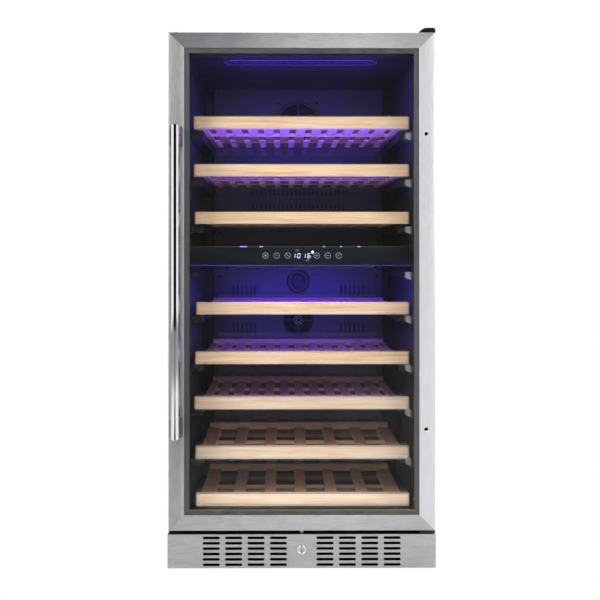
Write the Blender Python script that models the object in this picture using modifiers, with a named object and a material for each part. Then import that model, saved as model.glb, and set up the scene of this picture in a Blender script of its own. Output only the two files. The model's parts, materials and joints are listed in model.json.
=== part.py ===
"""Dual-zone wine cooler with a framed glass door, eight slatted racks and a slotted kick plate.

Units are metres, +Z is up and the front faces -Y. The origin is on the floor, at the middle of the
overall width and depth. Each sub-part is one named object in the collection wine_cooler.
"""

import math

import bmesh
import bpy
from mathutils import Matrix, Vector

# ---- Overall sizes -----------------------------------------------------------------------------
CABINET_WIDTH = 0.595
CABINET_DEPTH = 0.530
CABINET_TOP = 1.1915
BASE_HEIGHT = 0.020          # underside of the base pan above the floor
FIT = 0.0003                 # gap between pieces that touch
SHEET = 0.001                # sheet steel of the cabinet

# ---- Door --------------------------------------------------------------------------------------
DOOR_SIDE_GAP = 0.0025       # door edge inside the cabinet's side
DOOR_THICKNESS = 0.042
DOOR_TOP_GAP = 0.0005        # door top below the cabinet top
DOOR_BOTTOM_GAP = 0.009      # between the kick plate and the door
GASKET_GAP = 0.006           # between the closed door and the cabinet
FRAME_FACE = 0.0345          # width of the steel frame's front face
FRAME_SHEET = 0.0015
BAND_FACE = 0.0115           # dark inner band that shows inside the steel frame
GLASS_LAP = 0.008            # how far the panes reach behind the band
GLASS_SETBACK = 0.006        # front of the outer pane behind the door's face
PANE = 0.004
PANE_SPACING = 0.012
SPACER_WIDTH = 0.007
SPACER_INSET = 0.0005
GASKET_WIDTH = 0.018
GASKET_INSET = 0.005         # gasket outside the glass pocket

# ---- Handle ------------------------------------------------------------------------------------
HANDLE_PROJECTION = 0.045
HANDLE_RADIUS = 0.009
HANDLE_LENGTH = 0.690
HANDLE_POST_SPACING = 0.655
HANDLE_POST_RADIUS = 0.0055
HANDLE_INSET = 0.0187        # bar axis from the door's side edge
PLUG_RADIUS = 0.0058
PLUG_CAP = 0.0012
PLUG_STEM_RADIUS = 0.0040
PLUG_STEM = 0.006

# ---- Hinges ------------------------------------------------------------------------------------
HINGE_INSET = 0.010          # hinge axis from the door's right edge
HINGE_PLATE = 0.003
HINGE_PLATE_WIDTH = 0.034
HINGE_PIN_RADIUS = 0.004
HINGE_PIN_DEPTH = 0.009      # pin inside the door
HINGE_CAP_HEIGHT = 0.011
HINGE_TAIL = 0.060           # plate on the cabinet top behind the door
HINGE_TAB_HEIGHT = 0.040
HINGE_TAB_WIDTH = 0.015
HINGE_TAB_SHEET = 0.0025
PIN_CLEARANCE = 0.0005

# ---- Kick plate and lock -----------------------------------------------------------------------
KICK_BOTTOM = 0.004
KICK_HEIGHT = 0.075
KICK_SETBACK = 0.004
VENT_LENGTH = 0.038
VENT_HEIGHT = 0.006
VENT_COLUMN_PITCH = 0.0496
VENT_ROW_PITCH = 0.0119
VENT_ROWS = 6
VENT_COLUMNS_A_SIDE = 4
VENT_FIRST_COLUMN = 0.0517   # centre of the column next to the lock
LOCK_RISE = 0.040            # lock centre above the kick plate's lower edge
LOCK_FLANGE_RADIUS = 0.010
LOCK_FLANGE = 0.002
LOCK_BARREL_RADIUS = 0.008
LOCK_BARREL_LENGTH = 0.011
LOCK_CAM_RADIUS = 0.0145
LOCK_CAM_WIDTH = 0.006
LOCK_CAM_THICKNESS = 0.003
KEYWAY_WIDTH = 0.0016
KEYWAY_HEIGHT = 0.008
KEYWAY_DEPTH = 0.004
BOLT_WIDTH = 0.007
BOLT_THICKNESS = 0.006
BOLT_START = 0.010           # lower end of the bolt above the lock's axis
BOLT_TIP_GAP = 0.0025        # bolt tip below the door when unlocked
BOLT_TRAVEL = 0.008
BOLT_CLEARANCE = 0.001

# ---- Liner and insulation ----------------------------------------------------------------------
SIDE_WALL = 0.0435           # cabinet side to the inside of the liner
CEILING_WALL = 0.0435
BACK_WALL = 0.046
LINER_FLOOR = 0.116
LINER_WALL = 0.002
FLOOR_FOAM = 0.042
STEP_FOAM = 0.030
STEP_DROP = 0.002            # liner step below the runners of the last full rack
LEDGE_WIDTH = 0.028          # ledges that carry the lowest rack
BACK_FRAME = 0.006           # cable gland proud of the back

# ---- Racks and runners -------------------------------------------------------------------------
TOP_RACK_DROP = 0.163        # underside of the top rack's rail below the ceiling
LOW_RACK_RISE = 0.013        # underside of the lowest rack's rail above the liner floor
SLOT_COUNT = 9               # equal height slots, one of them taken by the divider
DIVIDER_SLOT = 3
FULL_SLOTS = (0, 1, 2, 4, 5, 6)
SHORT_SLOTS = (7, 8)
RACK_LIFTS = {0: 0.0015, 2: -0.0015, 4: 0.006, 6: 0.004, 7: -0.002, 8: -0.0025}  # off even slots
RAIL_SETBACK = 0.016         # rail front behind the cabinet's front
RAIL_SIDE_GAP = 0.007
RAIL_HEIGHT = 0.027
RAIL_DEPTH = 0.020
RAIL_CORNER = 0.006
RACK_SIDE_GAP = 0.022        # rack edge from the liner wall
RACK_BACK_GAP = 0.006
DECK_BOTTOM = 0.004          # slats above the rail's underside
DECK_THICKNESS = 0.014
BAR_WIDTH = 0.018
REAR_BAR_DEPTH = 0.014
REAR_BAR_RISE = 0.005        # rear bar above the rail
RACK_EDGE = 0.004            # least wood beside the outermost slats
FULL_OPENING_WIDTH = 0.0135
FULL_OPENING_PITCH = 0.0378
SHORT_OPENING_WIDTH = 0.043
SHORT_OPENING_PITCH = 0.0715
RUNNER_HEIGHT = 0.020
RUNNER_DROP = 0.003          # runner top below the rail's underside
RUNNER_WIDTH = 0.0177
RUNNER_SHEET = 0.002
RUNNER_SETBACK = 0.032       # runner front behind the rail front
DECK_LAP = 0.002             # deck into the front rail, and bars inside the deck's sides
OPENING_FRONT = 0.010        # openings behind the front rail
OPENING_REAR = 0.004         # openings ahead of the rear bar
SLIDE_WEB = 0.006
SLIDE_EDGE = 0.0005          # web inside the deck's side
SLIDE_END = 0.004            # slide's rear end ahead of the rack's back
SLIDE_CLEARANCE = 0.0007

# ---- Divider, panel and lamps ------------------------------------------------------------------
DIVIDER_LIFT = 0.010         # divider underside above its height slot
DIVIDER_THICKNESS = 0.044
DIVIDER_SETBACK = 0.014      # divider front behind the cabinet's front
PANEL_THICKNESS = 0.005
LAMP_WIDTH = 0.354
LAMP_DEPTH = 0.055
LAMP_THICKNESS = 0.006
LAMP_SETBACK = 0.022         # lamp front behind the cabinet's front

# ---- Air ducts and fans ------------------------------------------------------------------------
DUCT_DEPTH = 0.034
DUCT_WALL = 0.002
DUCT_SIDE_GAP = 0.026
UPPER_FAN_RADIUS = 0.054
UPPER_FAN_DROP = 0.092       # fan centre below the ceiling
LOWER_FAN_RADIUS = 0.0385
LOWER_FAN_DROP = 0.153       # fan centre below the divider
FAN_HUB_SHARE = 0.34         # hub radius as a share of the fan's opening
FAN_THICKNESS = 0.016
FAN_TIP_GAP = 0.003
FAN_BLADES = 7
FAN_BLADE_SHEET = 0.0016
FAN_PITCH_DEG = 32
GUARD_SPOKE = 0.004
FAN_FACE_GAP = 0.001
BACK_SLOT_WIDTH = 0.005
BACK_SLOT_PITCH = 0.0118
UPPER_VENT_COUNT = 22
UPPER_VENT_ROWS = ((0.1505, 0.0165), (0.1115, 0.011))   # centre above the divider, height
LOWER_VENT_COUNT = 6
LOWER_VENT_OFFSET = 0.147    # group centre from the middle
LOWER_VENT_ROWS = ((-0.074, 0.030), (-0.174, 0.030))    # centre below the divider, height
FILTER_RADIUS = 0.0320
FILTER_HOLE_RADIUS = 0.0275
FILTER_DROP = 0.048          # filter centre below the divider
FILTER_FLANGE = 0.003
FILTER_PLUG = 0.012
FILTER_DISH_RADIUS = 0.017
FILTER_DISH = 0.0015
FILTER_GRIP = 0.005
EVAPORATOR_THICKNESS = 0.005
EVAPORATOR_RIDGE = 0.003
EVAPORATOR_SIDE_GAP = 0.038  # evaporator edge inside the duct's side
EVAPORATOR_MARGIN = 0.018
EVAPORATOR_CHANNELS = 5

# ---- Compressor bay ----------------------------------------------------------------------------
PAN_HEIGHT = 0.025
PAN_SHEET = 0.0015
COMPRESSOR_RADIUS = 0.070
COMPRESSOR_HEIGHT = 0.165
COMPRESSOR_SEAM = 0.003      # weld flange round the can, also half its height
COMPRESSOR_DOME = 0.030
COMPRESSOR_FOOT = 0.012      # chamfer under the can
COMPRESSOR_CLEARANCE = 0.010 # can to the step's foam and to the back
COMPRESSOR_INSET = 0.1475    # can's axis from the cabinet's side
COMPRESSOR_PLATE = 0.004
COMPRESSOR_PLATE_EDGE = 0.004
COMPRESSOR_LUG = 0.020       # plate past the can, for its mounts
CONDENSER_INSET = 0.1475     # condenser's middle from the cabinet's side
CONDENSER_WIDTH = 0.050
CONDENSER_DEPTH = 0.130
CONDENSER_HEIGHT = 0.150
CONDENSER_GROOVES = 9
CONDENSER_GROOVE = 0.004
CONDENSER_GROOVE_DEPTH = 0.012
CONDENSER_FAN_RADIUS = 0.056
CONDENSER_FAN_GAP = 0.012
GLAND_INSET = 0.0625         # gland from the cabinet's side
GLAND_RISE = 0.030           # gland above the pan's rim
GLAND_RADIUS = 0.008
GLAND_FLANGE_RADIUS = 0.012
GLAND_LENGTH = 0.020
BACK_VENT_COUNT = 12
BACK_VENT_HEIGHT = 0.120
BACK_VENT_PITCH = 0.030

# ---- Feet --------------------------------------------------------------------------------------
FOOT_RADIUS = 0.022
FOOT_DISC = 0.008
FOOT_STUD_RADIUS = 0.004
FOOT_STUD_TOP = 0.040
FOOT_SIDE_INSET = 0.0425
FOOT_END_INSET = 0.045

# ---- Planes worked out from the sizes above ----------------------------------------------------
TOTAL_DEPTH = HANDLE_PROJECTION + DOOR_THICKNESS + GASKET_GAP + CABINET_DEPTH + BACK_FRAME
Y_HANDLE = -TOTAL_DEPTH / 2
Y_DOOR = Y_HANDLE + HANDLE_PROJECTION
Y_DOOR_BACK = Y_DOOR + DOOR_THICKNESS
Y_CABINET = Y_DOOR_BACK + GASKET_GAP
Y_BACK = Y_CABINET + CABINET_DEPTH
Y_LINER_BACK = Y_BACK - BACK_WALL
Y_DUCT = Y_LINER_BACK - DUCT_DEPTH
Y_RAIL = Y_CABINET + RAIL_SETBACK
Y_KICK = Y_DOOR + KICK_SETBACK

HALF_WIDTH = CABINET_WIDTH / 2
BAY_DEPTH = 2 * (COMPRESSOR_RADIUS + COMPRESSOR_SEAM + COMPRESSOR_CLEARANCE)
BAY_FRONT = Y_BACK - BAY_DEPTH
Y_STEP = BAY_FRONT - STEP_FOAM - LINER_WALL
HALF_DOOR = HALF_WIDTH - DOOR_SIDE_GAP
LINER_HALF = HALF_WIDTH - SIDE_WALL
LINER_TOP = CABINET_TOP - CEILING_WALL
RAIL_HALF = LINER_HALF - RAIL_SIDE_GAP
RACK_HALF = LINER_HALF - RACK_SIDE_GAP
DUCT_HALF = LINER_HALF - DUCT_SIDE_GAP

KICK_TOP = KICK_BOTTOM + KICK_HEIGHT
DOOR_BOTTOM = KICK_TOP + DOOR_BOTTOM_GAP
DOOR_TOP = CABINET_TOP - DOOR_TOP_GAP
DOOR_MIDDLE = (DOOR_BOTTOM + DOOR_TOP) / 2
BAND_EDGE = FRAME_FACE + BAND_FACE           # from the door's edge to the visible glass
POCKET_EDGE = BAND_EDGE - GLASS_LAP          # from the door's edge to the glass pocket
Y_GLASS = Y_DOOR + GLASS_SETBACK
HINGE_X = HALF_DOOR - HINGE_INSET
HINGE_Y = Y_DOOR + DOOR_THICKNESS / 2
HANDLE_X = HALF_DOOR - HANDLE_INSET
COMPRESSOR_X = HALF_WIDTH - COMPRESSOR_INSET
CONDENSER_X = CONDENSER_INSET - HALF_WIDTH
GLAND_X = HALF_WIDTH - GLAND_INSET

SLOT_PITCH = (LINER_TOP - TOP_RACK_DROP - LINER_FLOOR - LOW_RACK_RISE) / (SLOT_COUNT - 1)


def slot_height(slot):
    """Underside of the rail in a height slot, counted from the top."""
    return LINER_TOP - TOP_RACK_DROP - slot * SLOT_PITCH


def rack_height(slot):
    """Underside of the rail of the rack hung in a slot."""
    return slot_height(slot) + RACK_LIFTS.get(slot, 0)


DIVIDER_BOTTOM = slot_height(DIVIDER_SLOT) + DIVIDER_LIFT
DIVIDER_TOP = DIVIDER_BOTTOM + DIVIDER_THICKNESS
STEP_TOP = slot_height(SHORT_SLOTS[0] - 1) - RUNNER_DROP - RUNNER_HEIGHT - STEP_DROP
UPPER_FAN_Z = LINER_TOP - UPPER_FAN_DROP
LOWER_FAN_Z = DIVIDER_BOTTOM - LOWER_FAN_DROP
FILTER_Z = DIVIDER_BOTTOM - FILTER_DROP
LOCK_Z = KICK_BOTTOM + LOCK_RISE
PAN_TOP = BASE_HEIGHT + PAN_HEIGHT
FLOOR_FOAM_BOTTOM = LINER_FLOOR - LINER_WALL - FLOOR_FOAM
BAY_TOP = STEP_TOP - LINER_WALL - STEP_FOAM
BAY_MIDDLE = (BAY_FRONT + Y_BACK) / 2
Y_BOLT = Y_KICK + SHEET + LOCK_BARREL_LENGTH + LOCK_CAM_THICKNESS / 2

PARTS = "wine_cooler"
CUTTERS = "cutters"

MATERIALS = {
    # name: (colour, roughness, metallic)
    "black_painted_steel": ("#1B1B1D", 0.45, 0.0),
    "galvanised_steel": ("#A7ABAE", 0.42, 1.0),
    "brushed_steel": ("#B9B9B7", 0.32, 1.0),
    "chrome": ("#D9DADC", 0.08, 1.0),
    "black_liner": ("#1E1D26", 0.40, 0.0),
    "foam": ("#D9C88F", 0.90, 0.0),
    "dark_glass": ("#20252A", 0.08, 0.0),
    "clear_glass": ("#DDE6E8", 0.03, 0.0),
    "lamp_lens": ("#7A4CFF", 0.30, 0.0),
    "aluminium": ("#B5B8BB", 0.35, 1.0),
    "compressor_black": ("#161617", 0.35, 0.0),
    "copper_fins": ("#A9ABAD", 0.45, 1.0),
    "black_plastic": ("#161618", 0.50, 0.0),
    "charcoal_plastic": ("#2A2A33", 0.55, 0.0),
    "frame_plastic": ("#5A5C57", 0.45, 0.0),
    "rubber": ("#131314", 0.75, 0.0),
    "zinc": ("#C3C6C8", 0.35, 1.0),
    "beech": ("#E6C69B", 0.55, 0.0),
}


# ---- Scene helpers -----------------------------------------------------------------------------
def clear_scene():
    for item in list(bpy.data.objects):
        bpy.data.objects.remove(item, do_unlink=True)


def collection(name):
    group = bpy.data.collections.get(name)
    if group is None:
        group = bpy.data.collections.new(name)
        bpy.context.scene.collection.children.link(group)
    return group


def linear(channel):
    """One sRGB channel, 0 to 1, as a linear value."""
    if channel <= 0.04045:
        return channel / 12.92
    return ((channel + 0.055) / 1.055) ** 2.4


def material(name):
    found = bpy.data.materials.get(name)
    if found:
        return found
    colour, roughness, metallic = MATERIALS[name]
    channels = [linear(int(colour[i:i + 2], 16) / 255) for i in (1, 3, 5)]
    made = bpy.data.materials.new(name)
    made.use_nodes = True
    shader = made.node_tree.nodes["Principled BSDF"]
    shader.inputs["Base Color"].default_value = (*channels, 1)
    shader.inputs["Roughness"].default_value = roughness
    shader.inputs["Metallic"].default_value = metallic
    return made


def add_object(name, mesh, finish=None):
    """Links a mesh as a part with a finish, or without one as a cutter."""
    thing = bpy.data.objects.new(name, mesh)
    if finish is None:
        collection(CUTTERS).objects.link(thing)
        thing.hide_render = True
        thing.display_type = "WIRE"
    else:
        collection(PARTS).objects.link(thing)
        mesh.materials.append(material(finish))
    return thing


def mesh_from(name, build):
    """A mesh made by a function that fills a bmesh."""
    mesh = bpy.data.meshes.new(name)
    work = bmesh.new()
    build(work)
    work.to_mesh(mesh)
    work.free()
    return mesh


def add_boxes(name, boxes, finish=None):
    """One mesh with a box for each pair of opposite corners."""
    def build(work):
        for low, high in boxes:
            made = bmesh.ops.create_cube(work, size=1)["verts"]
            size = Vector(high) - Vector(low)
            middle = (Vector(high) + Vector(low)) / 2
            bmesh.ops.scale(work, vec=size, verts=made)
            bmesh.ops.translate(work, vec=middle, verts=made)
    return add_object(name, mesh_from(name, build), finish)


def add_box(name, low, high, finish=None):
    return add_boxes(name, [(low, high)], finish)


def axis_turn(axis):
    """Rotation that takes +Z to the named axis."""
    turns = {
        "X": Matrix.Rotation(math.radians(90), 4, "Y"),
        "Y": Matrix.Rotation(math.radians(-90), 4, "X"),
        "Z": Matrix.Identity(4),
    }
    return turns[axis]


def add_cylinder(name, radius, centre, length, axis="Z", sides=24, finish=None):
    def build(work):
        bmesh.ops.create_cone(work, cap_ends=True, segments=sides, radius1=radius,
                              radius2=radius, depth=length)
        place = Matrix.Translation(centre) @ axis_turn(axis)
        bmesh.ops.transform(work, matrix=place, verts=work.verts)
    thing = add_object(name, mesh_from(name, build), finish)
    if finish:
        smooth(thing)
    return thing


def smooth(thing):
    thing.data.shade_smooth()
    thing.data.set_sharp_from_angle(angle=math.radians(35))


def add_prism(name, outline, plane, start, end, finish=None):
    """A flat outline in the plane XY, XZ or YZ, extruded from start to end across it."""
    curve = bpy.data.curves.new(name, "CURVE")
    curve.dimensions = "2D"
    curve.fill_mode = "BOTH"
    curve.extrude = (end - start) / 2
    spline = curve.splines.new("POLY")
    spline.points.add(len(outline) - 1)
    for point, (u, v) in zip(spline.points, outline):
        point.co = (u, v, 0, 1)
    spline.use_cyclic_u = True
    guide = add_object(name + "_outline", curve)
    depsgraph = bpy.context.evaluated_depsgraph_get()
    mesh = bpy.data.meshes.new_from_object(guide.evaluated_get(depsgraph))
    bpy.data.objects.remove(guide, do_unlink=True)
    middle = (start + end) / 2
    frames = {
        "XY": Matrix.Translation((0, 0, middle)),
        "XZ": Matrix.Translation((0, middle, 0)) @ Matrix.Rotation(math.radians(90), 4, "X"),
        "YZ": Matrix.Translation((middle, 0, 0)) @ Matrix(
            ((0, 0, 1, 0), (1, 0, 0, 0), (0, 1, 0, 0), (0, 0, 0, 1))),
    }
    work = bmesh.new()
    work.from_mesh(mesh)
    bmesh.ops.remove_doubles(work, verts=work.verts, dist=0.00001)
    bmesh.ops.transform(work, matrix=frames[plane], verts=work.verts)
    bmesh.ops.recalc_face_normals(work, faces=work.faces)
    work.to_mesh(mesh)
    work.free()
    return add_object(name, mesh, finish)


def add_turned(name, profile, centre, axis, steps, finish):
    """A profile of (radius, height) points from top to bottom, turned about an axis."""
    def build(work):
        points = [work.verts.new((radius, 0, height)) for radius, height in profile]
        for first, second in zip(points, points[1:]):
            work.edges.new((first, second))
    thing = add_object(name, mesh_from(name, build), finish)
    turn = thing.modifiers.new("turn", "SCREW")
    turn.axis = "Z"
    turn.angle = math.tau
    turn.steps = steps
    turn.render_steps = steps
    turn.use_merge_vertices = True
    turn.merge_threshold = 0.00005
    thing.matrix_world = Matrix.Translation(centre) @ axis_turn(axis)
    return thing


def cut(body, *cutters):
    for cutter in cutters:
        step = body.modifiers.new("cut_" + cutter.name, "BOOLEAN")
        step.operation = "DIFFERENCE"
        step.object = cutter
    return body


def fuse(body, *pieces):
    for piece in pieces:
        step = body.modifiers.new("fuse_" + piece.name, "BOOLEAN")
        step.operation = "UNION"
        step.object = piece
    return body


def set_origin(thing, point):
    """Moves an object's origin to a point and leaves its shape where it is."""
    offset = Vector(point) - thing.location
    local = thing.matrix_basis.to_3x3().inverted() @ offset
    thing.data.transform(Matrix.Translation(-local))
    thing.location = point
    return thing


def box_xz(name, limits, front, back, finish=None):
    (low_x, low_z), (high_x, high_z) = limits
    return add_box(name, (low_x, front, low_z), (high_x, back, high_z), finish)


def door_limits(edge):
    """(x, z) limits that lie an even distance inside the door's outline."""
    return (edge - HALF_DOOR, DOOR_BOTTOM + edge), (HALF_DOOR - edge, DOOR_TOP - edge)


# ---- Cabinet -----------------------------------------------------------------------------------
def make_outer_shell():
    """Top, sides and the folded front ring; open at the back and underneath."""
    shell = add_box("outer_shell", (-HALF_WIDTH, Y_CABINET, BASE_HEIGHT),
                    (HALF_WIDTH, Y_BACK, CABINET_TOP), "black_painted_steel")
    inside = add_box("shell_inside", (SHEET - HALF_WIDTH, Y_CABINET + SHEET, -BASE_HEIGHT),
                     (HALF_WIDTH - SHEET, Y_BACK + SHEET, CABINET_TOP - SHEET))
    rim = LINER_WALL + FIT
    mouth = add_box("shell_mouth", (-LINER_HALF - rim, Y_CABINET - SHEET, LINER_FLOOR - rim),
                    (LINER_HALF + rim, Y_CABINET + 2 * SHEET, LINER_TOP + rim))
    intake = add_box("shell_intake", (-LINER_HALF, Y_CABINET - SHEET, PAN_TOP + SHEET),
                     (LINER_HALF, Y_CABINET + 2 * SHEET, FLOOR_FOAM_BOTTOM))
    return cut(shell, inside, mouth, intake)


def bay_vents():
    """Slots of the back panel, in two groups beside the middle of the bay."""
    low = PAN_TOP + SHEET + (BAY_TOP - PAN_TOP - BACK_VENT_HEIGHT) / 2
    first = -(BACK_VENT_COUNT - 1) / 2 * BACK_VENT_PITCH
    half = BACK_SLOT_WIDTH / 2
    boxes = []
    for index in range(BACK_VENT_COUNT):
        x = first + index * BACK_VENT_PITCH
        boxes.append(((x - half, Y_BACK - 3 * SHEET, low),
                      (x + half, Y_BACK + SHEET, low + BACK_VENT_HEIGHT)))
    return boxes


def make_back_panel():
    half = HALF_WIDTH - SHEET - FIT
    panel = add_box("back_panel", (-half, Y_BACK - SHEET, PAN_TOP + FIT),
                    (half, Y_BACK, CABINET_TOP - SHEET - FIT), "galvanised_steel")
    vents = add_boxes("back_vents", bay_vents())
    hole = add_cylinder("gland_hole", GLAND_RADIUS + FIT, (GLAND_X, Y_BACK, PAN_TOP + GLAND_RISE),
                        6 * SHEET, "Y")
    return cut(panel, vents, hole)


def foot_places():
    """Name, x and y of each levelling foot."""
    x = HALF_WIDTH - FOOT_SIDE_INSET
    front = Y_CABINET + FOOT_END_INSET
    rear = Y_BACK - FOOT_END_INSET
    return (("foot_front_left", -x, front), ("foot_front_right", x, front),
            ("foot_rear_left", -x, rear), ("foot_rear_right", x, rear))


def make_base_pan():
    half = HALF_WIDTH - SHEET - FIT
    front = Y_CABINET + SHEET + FIT
    pan = add_box("base_pan", (-half, front, BASE_HEIGHT), (half, Y_BACK, PAN_TOP),
                  "galvanised_steel")
    tray = add_box("pan_tray", (PAN_SHEET - half, front + PAN_SHEET, BASE_HEIGHT + PAN_SHEET),
                   (half - PAN_SHEET, Y_BACK - PAN_SHEET, PAN_TOP + PAN_SHEET))
    holes = [add_cylinder(name + "_hole", FOOT_STUD_RADIUS + PIN_CLEARANCE,
                          (x, y, BASE_HEIGHT), 6 * PAN_SHEET, sides=16)
             for name, x, y in foot_places()]
    return cut(pan, tray, *holes)


def cavity_outline(grow):
    """The cooled space from the side, as (y, z), grown outward by a distance."""
    floor = LINER_FLOOR - grow
    step = STEP_TOP - grow
    top = LINER_TOP + grow
    return [(floor, step, top), (Y_STEP + grow, Y_LINER_BACK + grow)]


def cavity_points(front, grow):
    (floor, step, top), (step_y, back) = cavity_outline(grow)
    return [(front, floor), (step_y, floor), (step_y, step), (back, step), (back, top),
            (front, top)]


def make_inner_liner():
    """Deep-drawn liner with the step over the compressor and the lowest rack's ledges."""
    outside = LINER_HALF + LINER_WALL
    liner = add_prism("inner_liner", cavity_points(Y_CABINET, LINER_WALL), "YZ", -outside,
                      outside, "black_liner")
    inside = add_prism("liner_inside", cavity_points(Y_CABINET - LINER_WALL, 0), "YZ",
                       -LINER_HALF, LINER_HALF)
    cut(liner, inside)
    top = rack_height(SHORT_SLOTS[-1]) - FIT
    front = Y_RAIL + RAIL_DEPTH
    for side, name in ((-1, "ledge_left"), (1, "ledge_right")):
        wall = side * (LINER_HALF + LINER_WALL / 2)
        lip = side * (LINER_HALF - LEDGE_WIDTH)
        ledge = add_box(name, (min(wall, lip), front, LINER_FLOOR - LINER_WALL / 2),
                        (max(wall, lip), Y_STEP + LINER_WALL / 2, top))
        fuse(liner, ledge)
    return liner


def make_foam():
    skin = SHEET + FIT
    foam = add_box("foam_insulation", (skin - HALF_WIDTH, Y_CABINET + skin, FLOOR_FOAM_BOTTOM),
                   (HALF_WIDTH - skin, Y_BACK - skin, CABINET_TOP - skin), "foam")
    grow = LINER_WALL + FIT
    cavity = add_prism("foam_cavity", cavity_points(Y_CABINET - SHEET, grow), "YZ",
                       -LINER_HALF - grow, LINER_HALF + grow)
    bay = add_box("foam_bay", (-CABINET_WIDTH, BAY_FRONT, 0), (CABINET_WIDTH, Y_BACK + SHEET, BAY_TOP))
    return cut(foam, cavity, bay)


def make_divider():
    half = LINER_HALF - FIT
    return add_box("zone_divider", (-half, Y_CABINET + DIVIDER_SETBACK, DIVIDER_BOTTOM),
                   (half, Y_LINER_BACK - FIT, DIVIDER_TOP), "black_liner")


def make_control_panel():
    half = LINER_HALF - 5 * FIT
    back = Y_CABINET + DIVIDER_SETBACK - FIT
    return add_box("control_panel", (-half, back - PANEL_THICKNESS, DIVIDER_BOTTOM),
                   (half, back, DIVIDER_TOP), "dark_glass")


def make_lamp(name, top):
    front = Y_CABINET + LAMP_SETBACK
    return add_box(name, (-LAMP_WIDTH / 2, front, top - LAMP_THICKNESS),
                   (LAMP_WIDTH / 2, front + LAMP_DEPTH, top), "lamp_lens")


# ---- Air ducts ---------------------------------------------------------------------------------
def hub_radius(radius):
    return radius * FAN_HUB_SHARE


def fan_window(name, radius, height):
    """Round opening whose middle disc and crossed spokes stay, to carry the fan's motor."""
    centre = (0, Y_DUCT, height)
    window = add_cylinder(name, radius, centre, 6 * DUCT_WALL, "Y")
    long = radius * 1.1
    deep = 4 * DUCT_WALL
    half = GUARD_SPOKE / 2
    disc = add_cylinder(name + "_disc", hub_radius(radius), centre, 2 * deep, "Y")
    upright = add_box(name + "_upright", (-half, Y_DUCT - deep, height - long),
                      (half, Y_DUCT + deep, height + long))
    level = add_box(name + "_level", (-long, Y_DUCT - deep, height - half),
                    (long, Y_DUCT + deep, height + half))
    return cut(window, disc, upright, level)


def slot_row(count, middle, height, tall):
    """Upright slots through a duct's front, evenly spaced about a middle."""
    first = middle - (count - 1) / 2 * BACK_SLOT_PITCH
    half = BACK_SLOT_WIDTH / 2
    boxes = []
    for index in range(count):
        x = first + index * BACK_SLOT_PITCH
        boxes.append(((x - half, Y_DUCT - DUCT_WALL, height - tall / 2),
                      (x + half, Y_DUCT + 2 * DUCT_WALL, height + tall / 2)))
    return boxes


def make_duct(name, bottom, top, slots, *windows):
    """Shallow tray against the liner's back, open towards it."""
    duct = add_box(name, (-DUCT_HALF, Y_DUCT, bottom), (DUCT_HALF, Y_LINER_BACK - FIT, top),
                   "black_liner")
    hollow = add_box(name + "_hollow", (DUCT_WALL - DUCT_HALF, Y_DUCT + DUCT_WALL, bottom + DUCT_WALL),
                     (DUCT_HALF - DUCT_WALL, Y_LINER_BACK + DUCT_WALL, top - DUCT_WALL))
    return cut(duct, hollow, add_boxes(name + "_slots", slots), *windows)


def make_upper_duct():
    slots = []
    for rise, tall in UPPER_VENT_ROWS:
        slots += slot_row(UPPER_VENT_COUNT, 0, DIVIDER_TOP + rise, tall)
    window = fan_window("upper_window", UPPER_FAN_RADIUS, UPPER_FAN_Z)
    return make_duct("upper_air_duct", DIVIDER_TOP + FIT, LINER_TOP - FIT, slots, window)


def make_lower_duct():
    slots = []
    for drop, tall in LOWER_VENT_ROWS:
        for side in (-1, 1):
            slots += slot_row(LOWER_VENT_COUNT, side * LOWER_VENT_OFFSET, DIVIDER_BOTTOM + drop, tall)
    window = fan_window("lower_window", LOWER_FAN_RADIUS, LOWER_FAN_Z)
    filter_hole = add_cylinder("filter_hole", FILTER_HOLE_RADIUS, (0, Y_DUCT, FILTER_Z),
                               6 * DUCT_WALL, "Y")
    return make_duct("lower_air_duct", STEP_TOP + FIT, DIVIDER_BOTTOM - FIT, slots, window,
                     filter_hole)


def make_fan(name, opening_radius, centre, axis, finish="black_plastic"):
    """Rotor with a round hub and pitched flat blades; its origin is on its axle."""
    tip = opening_radius - FAN_TIP_GAP
    hub = hub_radius(opening_radius)
    root = hub * 0.8
    rotor = add_cylinder(name, hub, (0, 0, 0), FAN_THICKNESS, finish=finish)

    def build(work):
        for index in range(FAN_BLADES):
            made = bmesh.ops.create_cube(work, size=1)["verts"]
            chord = 0.62 * math.tau * (root + tip) / 2 / FAN_BLADES
            shape = Matrix.Diagonal((tip - root, chord, FAN_BLADE_SHEET, 1))
            pitch = Matrix.Rotation(math.radians(FAN_PITCH_DEG), 4, "X")
            out = Matrix.Translation(((tip + root) / 2, 0, 0))
            spin = Matrix.Rotation(math.tau * index / FAN_BLADES, 4, "Z")
            bmesh.ops.transform(work, matrix=spin @ out @ pitch @ shape, verts=made)
    blades = add_object(name + "_blades", mesh_from(name + "_blades", build))
    place = Matrix.Translation(centre) @ axis_turn(axis)
    rotor.matrix_world = place
    blades.matrix_world = place
    return fuse(rotor, blades)


def make_duct_fan(name, radius, height):
    y = Y_DUCT + DUCT_WALL + FAN_FACE_GAP + FAN_THICKNESS / 2
    return make_fan(name, radius, (0, y, height), "Y")


def make_evaporator(name, bottom, top):
    """Roll-bond plate against the liner's back with level coolant channels."""
    half = DUCT_HALF - EVAPORATOR_SIDE_GAP
    back = Y_LINER_BACK - FIT
    front = back - EVAPORATOR_THICKNESS
    plate = add_box(name, (-half, front, bottom), (half, back, top), "aluminium")
    pitch = (top - bottom) / EVAPORATOR_CHANNELS
    boxes = []
    for index in range(EVAPORATOR_CHANNELS):
        z = bottom + (index + 0.5) * pitch
        boxes.append(((0.01 - half, front - EVAPORATOR_RIDGE, z - 0.1 * pitch),
                      (half - 0.01, front + EVAPORATOR_RIDGE / 2, z + 0.1 * pitch)))
    return fuse(plate, add_boxes(name + "_channels", boxes))


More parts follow.
